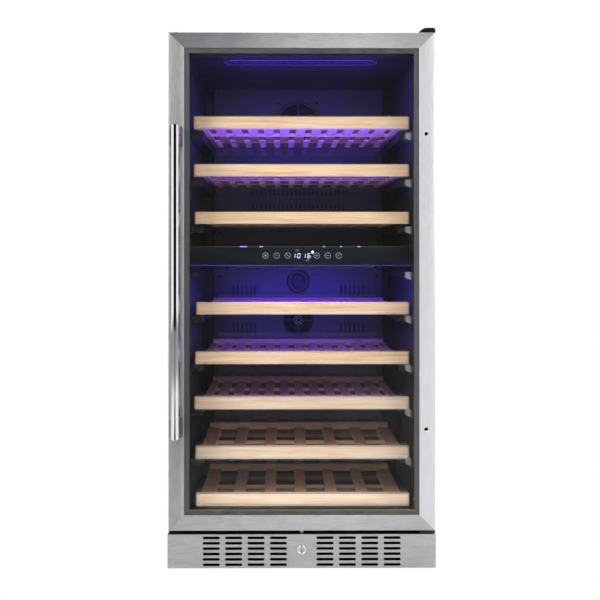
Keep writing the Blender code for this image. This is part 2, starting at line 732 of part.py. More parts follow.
def make_evaporators():
    upper_top = UPPER_FAN_Z - UPPER_FAN_RADIUS - EVAPORATOR_MARGIN
    make_evaporator("upper_evaporator", DIVIDER_TOP + EVAPORATOR_MARGIN, upper_top)
    lower_top = LOWER_FAN_Z - LOWER_FAN_RADIUS - EVAPORATOR_MARGIN
    make_evaporator("lower_evaporator", STEP_TOP + EVAPORATOR_MARGIN, lower_top)


def make_charcoal_filter():
    """Flanged cap with a dished middle and a grip bar; its plug fits the duct's hole."""
    flange = FILTER_FLANGE
    plug = FILTER_HOLE_RADIUS - PIN_CLEARANCE
    profile = [(0, flange - FILTER_DISH), (FILTER_DISH_RADIUS, flange - FILTER_DISH),
               (FILTER_DISH_RADIUS + 0.001, flange), (FILTER_RADIUS, flange), (FILTER_RADIUS, FIT),
               (plug, FIT), (plug, -FILTER_PLUG), (0, -FILTER_PLUG)]
    cap = add_turned("charcoal_filter", profile, (0, Y_DUCT, FILTER_Z), "Y", 24, "charcoal_plastic")
    cap.matrix_world = Matrix.Translation((0, Y_DUCT, FILTER_Z)) @ Matrix.Rotation(
        math.radians(90), 4, "X")
    half = FILTER_GRIP / 2
    grip = add_box("filter_grip", (1.5 * half - FILTER_DISH_RADIUS, Y_DUCT - flange - 0.002,
                                   FILTER_Z - half),
                   (FILTER_DISH_RADIUS - 1.5 * half, Y_DUCT - flange / 3, FILTER_Z + half))
    return fuse(cap, grip)


# ---- Compressor bay ----------------------------------------------------------------------------
def make_compressor():
    """Welded can with domed ends on a mounting plate."""
    radius = COMPRESSOR_RADIUS
    height = COMPRESSOR_HEIGHT
    bottom = BASE_HEIGHT + PAN_SHEET + FIT
    seam = COMPRESSOR_SEAM
    dome = [(radius * math.sin(math.radians(a)),
             height + COMPRESSOR_DOME * (math.cos(math.radians(a)) - 1)) for a in (0, 30, 60, 90)]
    profile = dome + [(radius, height / 2 + seam), (radius + seam, height / 2 + seam),
                      (radius + seam, height / 2 - seam), (radius, height / 2 - seam),
                      (radius, COMPRESSOR_FOOT), (radius - COMPRESSOR_FOOT, 0), (0, 0)]
    can = add_turned("compressor", profile, (COMPRESSOR_X, BAY_MIDDLE, bottom + COMPRESSOR_PLATE / 2),
                     "Z", 24, "compressor_black")
    half_y = (radius + COMPRESSOR_PLATE_EDGE) / 2
    half_x = 2 * half_y + COMPRESSOR_LUG
    plate = add_box("compressor_plate", (COMPRESSOR_X - half_x, BAY_MIDDLE - half_y, bottom),
                    (COMPRESSOR_X + half_x, BAY_MIDDLE + half_y, bottom + COMPRESSOR_PLATE))
    return fuse(can, plate)


def make_condenser():
    """Fin block with grooves on both faces and a spindle boss for the fan."""
    bottom = BASE_HEIGHT + PAN_SHEET + FIT
    half_x = CONDENSER_WIDTH / 2
    half_y = CONDENSER_DEPTH / 2
    block = add_box("condenser", (CONDENSER_X - half_x, BAY_MIDDLE - half_y, bottom),
                    (CONDENSER_X + half_x, BAY_MIDDLE + half_y, bottom + CONDENSER_HEIGHT),
                    "copper_fins")
    pitch = CONDENSER_HEIGHT / (CONDENSER_GROOVES + 1)
    boxes = []
    for index in range(CONDENSER_GROOVES):
        z = bottom + (index + 1) * pitch
        for side in (-1, 1):
            face = CONDENSER_X + side * half_x
            boxes.append(((face - CONDENSER_GROOVE_DEPTH, BAY_MIDDLE - CONDENSER_DEPTH,
                           z - CONDENSER_GROOVE / 2),
                          (face + CONDENSER_GROOVE_DEPTH, BAY_MIDDLE + CONDENSER_DEPTH,
                           z + CONDENSER_GROOVE / 2)))
    return cut(block, add_boxes("condenser_grooves", boxes))


def condenser_fan_centre():
    x = CONDENSER_X + CONDENSER_WIDTH / 2 + CONDENSER_FAN_GAP + FAN_THICKNESS / 2
    z = BASE_HEIGHT + PAN_SHEET + CONDENSER_FAN_RADIUS + CONDENSER_FAN_GAP
    return x, BAY_MIDDLE, z


def make_cable_gland():
    """Round gland with flanges on both sides of the back panel and a bore for the mains lead."""
    z = PAN_TOP + GLAND_RISE
    inside = Y_BACK - GLAND_LENGTH + BACK_FRAME
    outer = BACK_FRAME
    profile = [(GLAND_RADIUS * 0.5, outer), (GLAND_FLANGE_RADIUS * 0.8, outer),
               (GLAND_FLANGE_RADIUS, outer * 0.6), (GLAND_FLANGE_RADIUS, FIT), (GLAND_RADIUS, FIT),
               (GLAND_RADIUS, inside - Y_BACK), (GLAND_RADIUS * 0.5, inside - Y_BACK),
               (GLAND_RADIUS * 0.5, outer)]
    return add_turned("cable_gland", profile, (GLAND_X, Y_BACK, z), "Y", 16, "black_plastic")


def make_feet():
    for name, x, y in foot_places():
        profile = [(0, FOOT_STUD_TOP), (FOOT_STUD_RADIUS, FOOT_STUD_TOP),
                   (FOOT_STUD_RADIUS, FOOT_DISC), (FOOT_RADIUS - 0.002, FOOT_DISC),
                   (FOOT_RADIUS, FOOT_DISC - 0.002), (FOOT_RADIUS, 0), (0, 0)]
        add_turned(name, profile, (x, y, 0), "Z", 16, "black_plastic")


# ---- Kick plate and lock -----------------------------------------------------------------------
def kick_vents():
    """Slots of the kick plate, in rows on both sides of the lock."""
    boxes = []
    middle = KICK_BOTTOM + KICK_HEIGHT / 2
    first_row = middle - (VENT_ROWS - 1) / 2 * VENT_ROW_PITCH
    for side in (-1, 1):
        for column in range(VENT_COLUMNS_A_SIDE):
            x = side * (VENT_FIRST_COLUMN + column * VENT_COLUMN_PITCH)
            for row in range(VENT_ROWS):
                z = first_row + row * VENT_ROW_PITCH
                boxes.append(((x - VENT_LENGTH / 2, Y_KICK - SHEET, z - VENT_HEIGHT / 2),
                              (x + VENT_LENGTH / 2, Y_KICK + 2 * SHEET, z + VENT_HEIGHT / 2)))
    return boxes


def make_kick_plate():
    """Shallow steel tray, open at the back, from the door's face to the cabinet."""
    back = Y_CABINET - FIT
    plate = add_box("kick_plate", (-HALF_WIDTH, Y_KICK, KICK_BOTTOM), (HALF_WIDTH, back, KICK_TOP),
                    "brushed_steel")
    tray = add_box("kick_tray", (SHEET - HALF_WIDTH, Y_KICK + SHEET, KICK_BOTTOM + SHEET),
                   (HALF_WIDTH - SHEET, back + SHEET, KICK_TOP - SHEET))
    vents = add_boxes("kick_vents", kick_vents())
    hole = add_cylinder("lock_hole", LOCK_BARREL_RADIUS + FIT, (0, Y_KICK, LOCK_Z), 6 * SHEET, "Y")
    half_x = BOLT_WIDTH / 2 + BOLT_CLEARANCE
    half_y = BOLT_THICKNESS / 2 + BOLT_CLEARANCE
    slot = add_box("bolt_slot", (-half_x, Y_BOLT - half_y, KICK_TOP - 2 * SHEET),
                   (half_x, Y_BOLT + half_y, KICK_TOP + SHEET))
    return cut(plate, tray, vents, hole, slot)


def make_lock_barrel():
    """Flanged barrel with a keyway in front and a cam arm behind; it turns about its own axis."""
    face = LOCK_FLANGE
    length = SHEET + LOCK_BARREL_LENGTH + LOCK_CAM_THICKNESS
    profile = [(0, face), (LOCK_FLANGE_RADIUS - 0.0008, face), (LOCK_FLANGE_RADIUS, face - 0.0008),
               (LOCK_FLANGE_RADIUS, FIT), (LOCK_BARREL_RADIUS, FIT), (LOCK_BARREL_RADIUS, -length),
               (0, -length)]
    barrel = add_turned("lock_barrel", profile, (0, Y_KICK, LOCK_Z), "Y", 24, "chrome")
    barrel.matrix_world = Matrix.Translation((0, Y_KICK, LOCK_Z)) @ Matrix.Rotation(
        math.radians(90), 4, "X")
    front = Y_KICK - LOCK_FLANGE
    half = LOCK_CAM_WIDTH / 2
    cam = add_box("lock_cam", (0, Y_KICK + length - LOCK_CAM_THICKNESS, LOCK_Z - half),
                  (LOCK_CAM_RADIUS, Y_KICK + length, LOCK_Z + half))
    keyway = add_box("keyway", (-KEYWAY_WIDTH / 2, front - KEYWAY_DEPTH, LOCK_Z - KEYWAY_HEIGHT / 2),
                     (KEYWAY_WIDTH / 2, front + KEYWAY_DEPTH, LOCK_Z + KEYWAY_HEIGHT / 2))
    return cut(fuse(barrel, cam), keyway)


def make_lock_bolt():
    half_x = BOLT_WIDTH / 2
    half_y = BOLT_THICKNESS / 2
    bolt = add_box("lock_bolt", (-half_x, Y_BOLT - half_y, LOCK_Z + BOLT_START),
                   (half_x, Y_BOLT + half_y, DOOR_BOTTOM - BOLT_TIP_GAP), "zinc")
    return set_origin(bolt, (0, Y_BOLT, LOCK_Z + BOLT_START))


# ---- Door --------------------------------------------------------------------------------------
def door_holes(prefix):
    """Hinge pin holes, bolt hole and the bores of the two plugs, for one piece of the door."""
    radius = HINGE_PIN_RADIUS + PIN_CLEARANCE
    deep = 2 * (HINGE_PIN_DEPTH + HINGE_PLATE)
    top = add_cylinder(prefix + "_pin_top", radius, (HINGE_X, HINGE_Y, DOOR_TOP), deep, sides=16)
    low = add_cylinder(prefix + "_pin_low", radius, (HINGE_X, HINGE_Y, DOOR_BOTTOM), deep, sides=16)
    half_x = BOLT_WIDTH / 2 + BOLT_CLEARANCE
    half_y = BOLT_THICKNESS / 2 + BOLT_CLEARANCE
    bolt = add_box(prefix + "_strike", (-half_x, Y_BOLT - half_y, DOOR_BOTTOM - BOLT_TRAVEL),
                   (half_x, Y_BOLT + half_y, DOOR_BOTTOM + BOLT_TRAVEL))
    plugs = [add_cylinder(prefix + "_plug_hole_" + str(index), PLUG_STEM_RADIUS + FIT,
                          (HANDLE_X, Y_DOOR, z), 2 * (PLUG_STEM + 0.001), "Y", 16)
             for index, z in enumerate(post_heights())]
    return [top, low, bolt, *plugs]


def post_heights():
    return (DOOR_MIDDLE + HANDLE_POST_SPACING / 2, DOOR_MIDDLE - HANDLE_POST_SPACING / 2)


def make_door_frame():
    """Steel face ring with a skirt round the door's edge; the back is open."""
    frame = box_xz("door_frame", door_limits(0), Y_DOOR, Y_DOOR_BACK, "brushed_steel")
    hollow = box_xz("frame_hollow", door_limits(FRAME_SHEET), Y_DOOR + FRAME_SHEET,
                    Y_DOOR_BACK + FRAME_SHEET)
    window = box_xz("frame_window", door_limits(FRAME_FACE), Y_DOOR - FRAME_SHEET,
                    Y_DOOR + 2 * FRAME_SHEET)
    return cut(frame, hollow, window, *door_holes("frame"))


def make_door_inner_frame():
    """Dark frame inside the steel skirt: a lip in front of the glass and a pocket behind it."""
    skin = FRAME_SHEET + FIT
    frame = box_xz("door_inner_frame", door_limits(skin), Y_DOOR + skin, Y_DOOR_BACK,
                   "frame_plastic")
    window = box_xz("band_window", door_limits(BAND_EDGE), Y_DOOR - skin, Y_DOOR_BACK + skin)
    pocket = box_xz("glass_pocket", door_limits(POCKET_EDGE), Y_GLASS - FIT, Y_DOOR_BACK + skin)
    return cut(frame, window, pocket, *door_holes("inner_frame"))


def make_glass_unit():
    edge = POCKET_EDGE + FIT
    inner_front = Y_GLASS + PANE + PANE_SPACING
    box_xz("outer_glass", door_limits(edge), Y_GLASS, Y_GLASS + PANE, "clear_glass")
    box_xz("inner_glass", door_limits(edge), inner_front, inner_front + PANE, "clear_glass")
    spacer = box_xz("glass_spacer", door_limits(edge + SPACER_INSET), Y_GLASS + PANE + FIT,
                    inner_front - FIT, "aluminium")
    gap = box_xz("spacer_gap", door_limits(edge + SPACER_INSET + SPACER_WIDTH), Y_GLASS,
                 inner_front + PANE)
    cut(spacer, gap)


def make_gasket():
    outer = POCKET_EDGE - GASKET_INSET - GASKET_WIDTH
    gasket = box_xz("door_gasket", door_limits(outer), Y_DOOR_BACK + FIT, Y_CABINET - FIT, "rubber")
    gap = box_xz("gasket_gap", door_limits(outer + GASKET_WIDTH), Y_DOOR_BACK - FIT, Y_CABINET + FIT)
    return cut(gasket, gap)


def make_handle():
    y = Y_HANDLE + HANDLE_RADIUS
    bar = add_cylinder("handle", HANDLE_RADIUS, (-HANDLE_X, y, DOOR_MIDDLE), HANDLE_LENGTH,
                       sides=20, finish="chrome")
    reach = Y_DOOR - FIT - y
    for index, z in enumerate(post_heights()):
        post = add_cylinder("handle_post_" + str(index), HANDLE_POST_RADIUS,
                            (-HANDLE_X, y + reach / 2, z), reach, "Y", 12)
        fuse(bar, post)
    return bar


def make_plugs():
    for name, z in zip(("upper_hole_plug", "lower_hole_plug"), post_heights()):
        profile = [(0, PLUG_CAP), (PLUG_RADIUS * 0.8, PLUG_CAP), (PLUG_RADIUS, PLUG_CAP * 0.5),
                   (PLUG_RADIUS, FIT), (PLUG_STEM_RADIUS, FIT), (PLUG_STEM_RADIUS, -PLUG_STEM),
                   (0, -PLUG_STEM)]
        plug = add_turned(name, profile, (HANDLE_X, Y_DOOR, z), "Y", 16, "chrome")
        plug.matrix_world = Matrix.Translation((HANDLE_X, Y_DOOR, z)) @ Matrix.Rotation(
            math.radians(90), 4, "X")


def hang_door():
    """Parents the door's pieces to an empty on the hinge axis."""
    axis = bpy.data.objects.new("door_axis", None)
    axis.location = (HINGE_X, HINGE_Y, DOOR_BOTTOM)
    collection(PARTS).objects.link(axis)
    pieces = ("door_frame", "door_inner_frame", "outer_glass", "glass_spacer", "inner_glass",
              "door_gasket", "handle", "upper_hole_plug", "lower_hole_plug")
    for name in pieces:
        piece = bpy.data.objects[name]
        piece.parent = axis
        piece.matrix_parent_inverse = Matrix.Translation(-axis.location)


# ---- Hinges ------------------------------------------------------------------------------------
def make_upper_hinge():
    """Plate on the cabinet's top with a pin down into the door, under a moulded cap."""
    right = HALF_WIDTH - 2 * SHEET
    left = right - HINGE_PLATE_WIDTH
    bottom = CABINET_TOP + FIT
    top = bottom + HINGE_PLATE
    front = Y_DOOR + KICK_SETBACK
    plate = add_box("upper_hinge", (left, front, bottom), (right, Y_CABINET + HINGE_TAIL, top),
                    "black_plastic")
    pin_low = DOOR_TOP - HINGE_PIN_DEPTH
    pin = add_cylinder("upper_pin", HINGE_PIN_RADIUS, (HINGE_X, HINGE_Y, (pin_low + top) / 2),
                       top - pin_low, sides=16)
    cap_top = CABINET_TOP + HINGE_CAP_HEIGHT
    cap = add_prism("hinge_cap", [(left - 0.002, top - 0.001), (right + 0.001, top - 0.001),
                                  (right + 0.001, cap_top), (left + 0.010, cap_top),
                                  (left - 0.002, cap_top - 0.005)], "XZ",
                    front - 0.001, Y_CABINET + HINGE_TAIL + 0.001)
    return fuse(plate, pin, cap)


def make_lower_hinge():
    """Plate in the gap under the door with a pin up into it, on a tab on the cabinet's front."""
    right = HALF_WIDTH - SHEET
    left = right - HINGE_PLATE_WIDTH
    bottom = KICK_TOP + (DOOR_BOTTOM_GAP - HINGE_PLATE) / 2
    top = bottom + HINGE_PLATE
    back = Y_CABINET - FIT
    plate = add_box("lower_hinge", (left, Y_DOOR + KICK_SETBACK, bottom), (right, back, top),
                    "galvanised_steel")
    tab = add_box("hinge_tab", (right - HINGE_TAB_WIDTH, back - HINGE_TAB_SHEET, bottom),
                  (right, back, top + HINGE_TAB_HEIGHT))
    pin_top = DOOR_BOTTOM + HINGE_PIN_DEPTH
    pin = add_cylinder("lower_pin", HINGE_PIN_RADIUS, (HINGE_X, HINGE_Y, (pin_top + bottom) / 2),
                       pin_top - bottom, sides=16)
    return fuse(plate, tab, pin)


# ---- Racks and runners -------------------------------------------------------------------------
def rounded_rectangle(half_x, front, back, radius, steps=3):
    """Outline in X and Y with round corners."""
    corners = ((half_x - radius, back - radius, 0), (radius - half_x, back - radius, 90),
               (radius - half_x, front + radius, 180), (half_x - radius, front + radius, 270))
    outline = []
    for x, y, start in corners:
        for index in range(steps):
            turn = math.radians(start + 90 * index / (steps - 1))
            outline.append((x + radius * math.cos(turn), y + radius * math.sin(turn)))
    return outline


def rack_back(slot):
    wall = Y_STEP if slot in SHORT_SLOTS else Y_DUCT
    return wall - RACK_BACK_GAP


def make_rack(name, slot):
    """Beech rack: round-ended front rail, slatted deck, cross bars and side slides."""
    base = rack_height(slot)
    back = rack_back(slot)
    rail_back = Y_RAIL + RAIL_DEPTH
    short = slot in SHORT_SLOTS
    width = SHORT_OPENING_WIDTH if short else FULL_OPENING_WIDTH
    pitch = SHORT_OPENING_PITCH if short else FULL_OPENING_PITCH
    count = int(2 * (RACK_HALF - RACK_EDGE) / pitch)
    rail = add_prism(name, rounded_rectangle(RAIL_HALF, Y_RAIL, rail_back, RAIL_CORNER), "XY",
                     base, base + RAIL_HEIGHT, "beech")
    deck = add_box(name + "_deck", (-RACK_HALF, rail_back - DECK_LAP, base + DECK_BOTTOM),
                   (RACK_HALF, back - DECK_LAP / 2, base + DECK_BOTTOM + DECK_THICKNESS))
    openings = []
    for index in range(count):
        x = (index - (count - 1) / 2) * pitch
        openings.append(((x - width / 2, rail_back + OPENING_FRONT, base),
                         (x + width / 2, back - REAR_BAR_DEPTH - OPENING_REAR, base + RAIL_HEIGHT)))
    cut(deck, add_boxes(name + "_openings", openings))
    bars = []
    bar_count = 1 if short else 2
    reach = back - rail_back
    for index in range(bar_count):
        y = rail_back + reach * (index + 1) / (bar_count + 1)
        bars.append(((DECK_LAP - RACK_HALF, y - BAR_WIDTH / 2, base),
                     (RACK_HALF - DECK_LAP, y + BAR_WIDTH / 2, base + DECK_BOTTOM + DECK_LAP / 2)))
    bars.append(((DECK_LAP - RACK_HALF, back - REAR_BAR_DEPTH, base),
                 (RACK_HALF - DECK_LAP, back, base + RAIL_HEIGHT + REAR_BAR_RISE)))
    fuse(rail, deck, add_boxes(name + "_bars", bars))
    if slot != SHORT_SLOTS[-1]:
        fuse(rail, *rack_slides(name, base, back))
    return set_origin(rail, (0, Y_RAIL, base))


def rack_slides(name, base, back):
    """A slide on each side: a web down from the deck and a tongue out into the runner."""
    top = base - RUNNER_DROP - RUNNER_SHEET - SLIDE_CLEARANCE
    bottom = base - RUNNER_DROP - RUNNER_HEIGHT + RUNNER_SHEET + SLIDE_CLEARANCE
    front = Y_RAIL + RUNNER_SETBACK + DECK_LAP
    web_in = RACK_HALF - SLIDE_WEB
    web_out = RACK_HALF - SLIDE_EDGE
    web_top = base + DECK_BOTTOM + DECK_LAP
    tongue_out = LINER_HALF - FIT - RUNNER_SHEET - SLIDE_CLEARANCE
    slides = []
    for side in (-1, 1):
        outline = [(side * web_in, bottom), (side * tongue_out, bottom), (side * tongue_out, top),
                   (side * web_out, top), (side * web_out, web_top), (side * web_in, web_top)]
        slides.append(add_prism(name + ("_slide_left" if side < 0 else "_slide_right"), outline,
                                "XZ", front, back - SLIDE_END))
    return slides


def make_runner(name, slot, side):
    """Channel on the liner's wall, open towards the rack, with a slanted front end."""
    top = rack_height(slot) - RUNNER_DROP
    bottom = top - RUNNER_HEIGHT
    wall = LINER_HALF - FIT
    lip = wall - RUNNER_WIDTH
    inner = wall - RUNNER_SHEET
    outline = [(side * wall, bottom), (side * wall, top), (side * lip, top),
               (side * lip, top - RUNNER_SHEET), (side * inner, top - RUNNER_SHEET),
               (side * inner, bottom + RUNNER_SHEET), (side * lip, bottom + RUNNER_SHEET),
               (side * lip, bottom)]
    back = rack_back(slot)
    front = Y_RAIL + RUNNER_SETBACK
    return add_prism(name, outline, "XZ", front, back, "zinc")


def make_racks():
    slots = FULL_SLOTS + SHORT_SLOTS
    for index, slot in enumerate(slots):
        make_rack("shelf_" + str(index + 1), slot)
        if slot != SHORT_SLOTS[-1]:
            make_runner("runner_" + str(index + 1) + "_left", slot, -1)
            make_runner("runner_" + str(index + 1) + "_right", slot, 1)


# ---- The whole object --------------------------------------------------------------------------
def main():
    clear_scene()
    make_outer_shell()
    make_back_panel()
    make_base_pan()
    make_inner_liner()
    make_foam()
    make_divider()
    make_control_panel()
    make_lamp("upper_lamp", LINER_TOP - FIT)
    make_lamp("lower_lamp", DIVIDER_BOTTOM - FIT)
    make_upper_duct()
    make_lower_duct()
    make_evaporators()
    make_duct_fan("upper_fan", UPPER_FAN_RADIUS, UPPER_FAN_Z)
    make_duct_fan("lower_fan", LOWER_FAN_RADIUS, LOWER_FAN_Z)
    make_charcoal_filter()
    make_compressor()
    make_condenser()
    make_fan("condenser_fan", CONDENSER_FAN_RADIUS, condenser_fan_centre(), "X")
    make_cable_gland()
    make_feet()
    make_kick_plate()
    make_lock_barrel()
    make_lock_bolt()
    make_door_frame()
    make_door_inner_frame()
    make_glass_unit()
    make_gasket()
    make_handle()
    make_plugs()
    hang_door()
    make_upper_hinge()
    make_lower_hinge()
    make_racks()


main()
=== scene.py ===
"""Looks of a tall two-zone wine cooler: framed glass door, eight beech racks, violet lamps.

Units are metres, +Z is up and the front faces -Y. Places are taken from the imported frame.
"""

import json
import math

import bmesh
import bpy
from mathutils import Matrix, Vector

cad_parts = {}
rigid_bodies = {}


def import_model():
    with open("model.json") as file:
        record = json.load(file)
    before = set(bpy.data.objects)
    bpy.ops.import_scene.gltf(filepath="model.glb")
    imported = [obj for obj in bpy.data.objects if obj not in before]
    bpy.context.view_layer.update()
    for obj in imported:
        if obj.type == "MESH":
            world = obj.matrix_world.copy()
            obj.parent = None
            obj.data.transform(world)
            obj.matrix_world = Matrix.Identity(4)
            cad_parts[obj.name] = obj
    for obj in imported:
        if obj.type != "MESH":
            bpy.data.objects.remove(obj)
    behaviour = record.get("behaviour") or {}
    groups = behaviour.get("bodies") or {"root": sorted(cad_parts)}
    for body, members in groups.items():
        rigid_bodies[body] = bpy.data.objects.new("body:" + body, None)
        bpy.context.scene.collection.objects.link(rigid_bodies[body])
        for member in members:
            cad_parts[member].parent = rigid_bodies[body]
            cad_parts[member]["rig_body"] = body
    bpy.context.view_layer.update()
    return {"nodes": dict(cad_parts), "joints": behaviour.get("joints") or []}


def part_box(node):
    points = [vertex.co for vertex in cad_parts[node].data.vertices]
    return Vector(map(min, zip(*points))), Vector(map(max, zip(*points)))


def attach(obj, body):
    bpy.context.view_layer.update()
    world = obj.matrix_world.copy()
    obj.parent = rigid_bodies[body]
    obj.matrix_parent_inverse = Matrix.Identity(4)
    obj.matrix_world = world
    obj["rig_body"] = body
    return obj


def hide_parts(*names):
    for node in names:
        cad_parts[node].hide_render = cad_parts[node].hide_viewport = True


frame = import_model()

MM = 0.001
# Colour of the lamps' diodes, and the bluer tone that comes back off the rear wall.
VIOLET = "#5C42FF"
WALL_VIOLET = "#3A26FF"
# Noise from a grain's dark side to its light side.
GRAIN_SPAN = {"From Min": 0.3, "From Max": 0.7}
# Angles in degrees: a bend sharper than the first stays a crease when a piece is shaded, and one
# sharper than the second is rounded by a piece's edge radius.
CREASE, ROUNDED_FROM = 40, 35
# Points closer than this are one.
SAME_POINT = 1e-6
SIDES = ((-1, "left"), (1, "right"))


# ---- Finishes ----------------------------------------------------------------------------------
def srgb(code):
    """A hex colour as linear red, green, blue and alpha."""
    channels = [int(code[i:i + 2], 16) / 255 for i in (1, 3, 5)]
    return (*[c / 12.92 if c <= 0.04045 else ((c + 0.055) / 1.055) ** 2.4 for c in channels], 1)


def add_node(tree, kind, inputs=None, stops=None, **settings):
    """Adds a node; inputs are values, hex colours or other nodes' sockets; stops fill a ramp."""
    made = tree.nodes.new("ShaderNode" + kind)
    for field, value in settings.items():
        setattr(made, field, value)
    for socket, value in (inputs or {}).items():
        target = made.inputs[socket]
        if isinstance(value, bpy.types.NodeSocket):
            tree.links.new(value, target)
        else:
            target.default_value = srgb(value) if isinstance(value, str) else value
    if stops:
        band = made.color_ramp
        while len(band.elements) < len(stops):
            band.elements.new(0.5)
        for element, (place, colour) in zip(band.elements, stops):
            element.position = place
            element.color = srgb(colour)
    return made


def new_finish(name, roughness=0.5, metallic=0.0, **uniform):
    """A material with one Principled shader; returns it with its tree and shader."""
    made = bpy.data.materials.new(name)
    made.use_nodes = True
    tree = made.node_tree
    shader = tree.nodes["Principled BSDF"]
    values = {"Roughness": roughness, "Metallic": metallic}
    values.update({key.replace("_", " "): value for key, value in uniform.items()})
    for socket, value in values.items():
        shader.inputs[socket].default_value = srgb(value) if isinstance(value, str) else value
    return made, tree, shader


def grain_noise(tree, size_mm, detail=3.0, distortion=0.0):
    """Noise whose grains measure size_mm along X, Y and Z of the object."""
    coords = add_node(tree, "TexCoord")
    scaled = add_node(tree, "Mapping", {"Vector": coords.outputs["Object"],
                                        "Scale": [1 / (side * MM) for side in size_mm]})
    return add_node(tree, "TexNoise", {"Vector": scaled.outputs[0], "Scale": 1.0,
                                       "Detail": detail, "Distortion": distortion})


def relief(tree, shader, height, depth_mm):
    """Raises and sinks the surface by up to depth_mm."""
    bump = add_node(tree, "Bump", {"Height": height, "Distance": depth_mm * MM})
    tree.links.new(bump.outputs[0], shader.inputs["Normal"])


def surface(name, tones, roughness, size_mm, depth_mm=0.0, metallic=0.0, **uniform):
    """A finish whose tone, gloss and relief follow one grain, from its dark to its light side."""
    made, tree, shader = new_finish(name, sum(roughness) / 2, metallic, **uniform)
    noise = grain_noise(tree, size_mm)
    last = max(1, len(tones) - 1)
    tone = add_node(tree, "ValToRGB", {"Fac": noise.outputs["Fac"]},
                    stops=[(0.3 + 0.4 * i / last, code) for i, code in enumerate(tones)])
    tree.links.new(tone.outputs[0], shader.inputs["Base Color"])
    gloss = add_node(tree, "MapRange", {"Value": noise.outputs["Fac"], **GRAIN_SPAN,
                                        "To Min": roughness[0], "To Max": roughness[1]})
    tree.links.new(gloss.outputs[0], shader.inputs["Roughness"])
    if depth_mm:
        relief(tree, shader, noise.outputs["Fac"], depth_mm)
    return made


def brushed_stainless(name, along, low, high, tones, uneven=1.0, painted_highlight_from=None):
    """Stainless sheet brushed with a 180-grit belt: long fine scratches over a soft, uneven tone.

    The scratches are 0.1 mm wide on the real sheet and are drawn 1.1 mm wide so that they show.
    tones run along the grain, from low to high, and are painted light and shade rather than the
    steel's own colour; uneven scales how much they wander. painted_highlight_from is where across
    the grain a painted highlight starts to brighten the sheet, up to its far edge 11 mm on.
    """
    roughness = 0.30
    made, tree, shader = new_finish(name, roughness, 1.0)
    axis = "XYZ".index(along)
    streak = grain_noise(tree, [55 if i == axis else 1.1 for i in range(3)], 4.0)
    smudge = grain_noise(tree, [34 if i == axis else 17 for i in range(3)], 3.0, 0.6)
    coords = add_node(tree, "TexCoord")
    split = add_node(tree, "SeparateXYZ", {"Vector": coords.outputs["Object"]})
    run = add_node(tree, "MapRange", {"Value": split.outputs[axis], "From Min": low,
                                      "From Max": high})
    last = max(1, len(tones) - 1)
    tone = add_node(tree, "ValToRGB", {"Fac": run.outputs[0]},
                    stops=[(i / last, code) for i, code in enumerate(tones)])
    lines = add_node(tree, "MapRange", {"Value": streak.outputs["Fac"], **GRAIN_SPAN,
                                        "To Min": 1 - 0.10 * uneven,
                                        "To Max": 1 + 0.08 * uneven})
    cloud = add_node(tree, "MapRange", {"Value": smudge.outputs["Fac"], **GRAIN_SPAN,
                                        "To Min": 1 - 0.07 * uneven,
                                        "To Max": 1 + 0.06 * uneven})
    both = add_node(tree, "Math", {0: lines.outputs[0], 1: cloud.outputs[0]},
                    operation="MULTIPLY")
    # Painted highlight: the colour rises from 1.0 to 1.3 times over 11 mm across the grain.
    if painted_highlight_from is not None:
        edge = add_node(tree, "MapRange", {"Value": split.outputs["X"], "From Min": painted_highlight_from,
                                           "From Max": painted_highlight_from + 11 * MM, "To Min": 1.0,
                                           "To Max": 1.3})
        both = add_node(tree, "Math", {0: both.outputs[0], 1: edge.outputs[0]},
                        operation="MULTIPLY")
    shade = add_node(tree, "VectorMath", {0: tone.outputs[0], "Scale": both.outputs[0]},
                     operation="SCALE")
    tree.links.new(shade.outputs[0], shader.inputs["Base Color"])
    gloss = add_node(tree, "MapRange", {"Value": streak.outputs["Fac"], **GRAIN_SPAN,
                                        "To Min": roughness - 0.05, "To Max": roughness + 0.07})
    tree.links.new(gloss.outputs[0], shader.inputs["Roughness"])
    relief(tree, shader, streak.outputs["Fac"], 0.02)
    return made


def beech(name, along, tones):
    """Planed, oiled beech: pale pinkish wood with growth rings 5 mm apart and short dark flecks.

    The flecks are 0.3 mm wide on the real board and are drawn 1.2 mm wide so that they show.
    """
    made, tree, shader = new_finish(name, 0.48, Coat_Weight=0.12, Coat_Roughness=0.35)
    axis = "XYZ".index(along)
    rings = grain_noise(tree, [130 if i == axis else 5 for i in range(3)], 2.5, 0.8)
    flecks = grain_noise(tree, [7 if i == axis else 1.2 for i in range(3)], 1.0)
    board = grain_noise(tree, [260 if i == axis else 36 for i in range(3)], 1.0)
    tone = add_node(tree, "ValToRGB", {"Fac": rings.outputs["Fac"]},
                    stops=[(0.28 + 0.44 * i / (len(tones) - 1), code)
                           for i, code in enumerate(tones)])
    fleck = add_node(tree, "MapRange", {"Value": flecks.outputs["Fac"], "From Min": 0.60,
                                        "From Max": 0.74, "To Min": 1.0, "To Max": 0.86})
    patch = add_node(tree, "MapRange", {"Value": board.outputs["Fac"], **GRAIN_SPAN,
                                        "To Min": 0.94, "To Max": 1.05})
    both = add_node(tree, "Math", {0: fleck.outputs[0], 1: patch.outputs[0]},
                    operation="MULTIPLY")
    shade = add_node(tree, "VectorMath", {0: tone.outputs[0], "Scale": both.outputs[0]},
                     operation="SCALE")
    tree.links.new(shade.outputs[0], shader.inputs["Base Color"])
    relief(tree, shader, flecks.outputs["Fac"], 0.03)
    return made


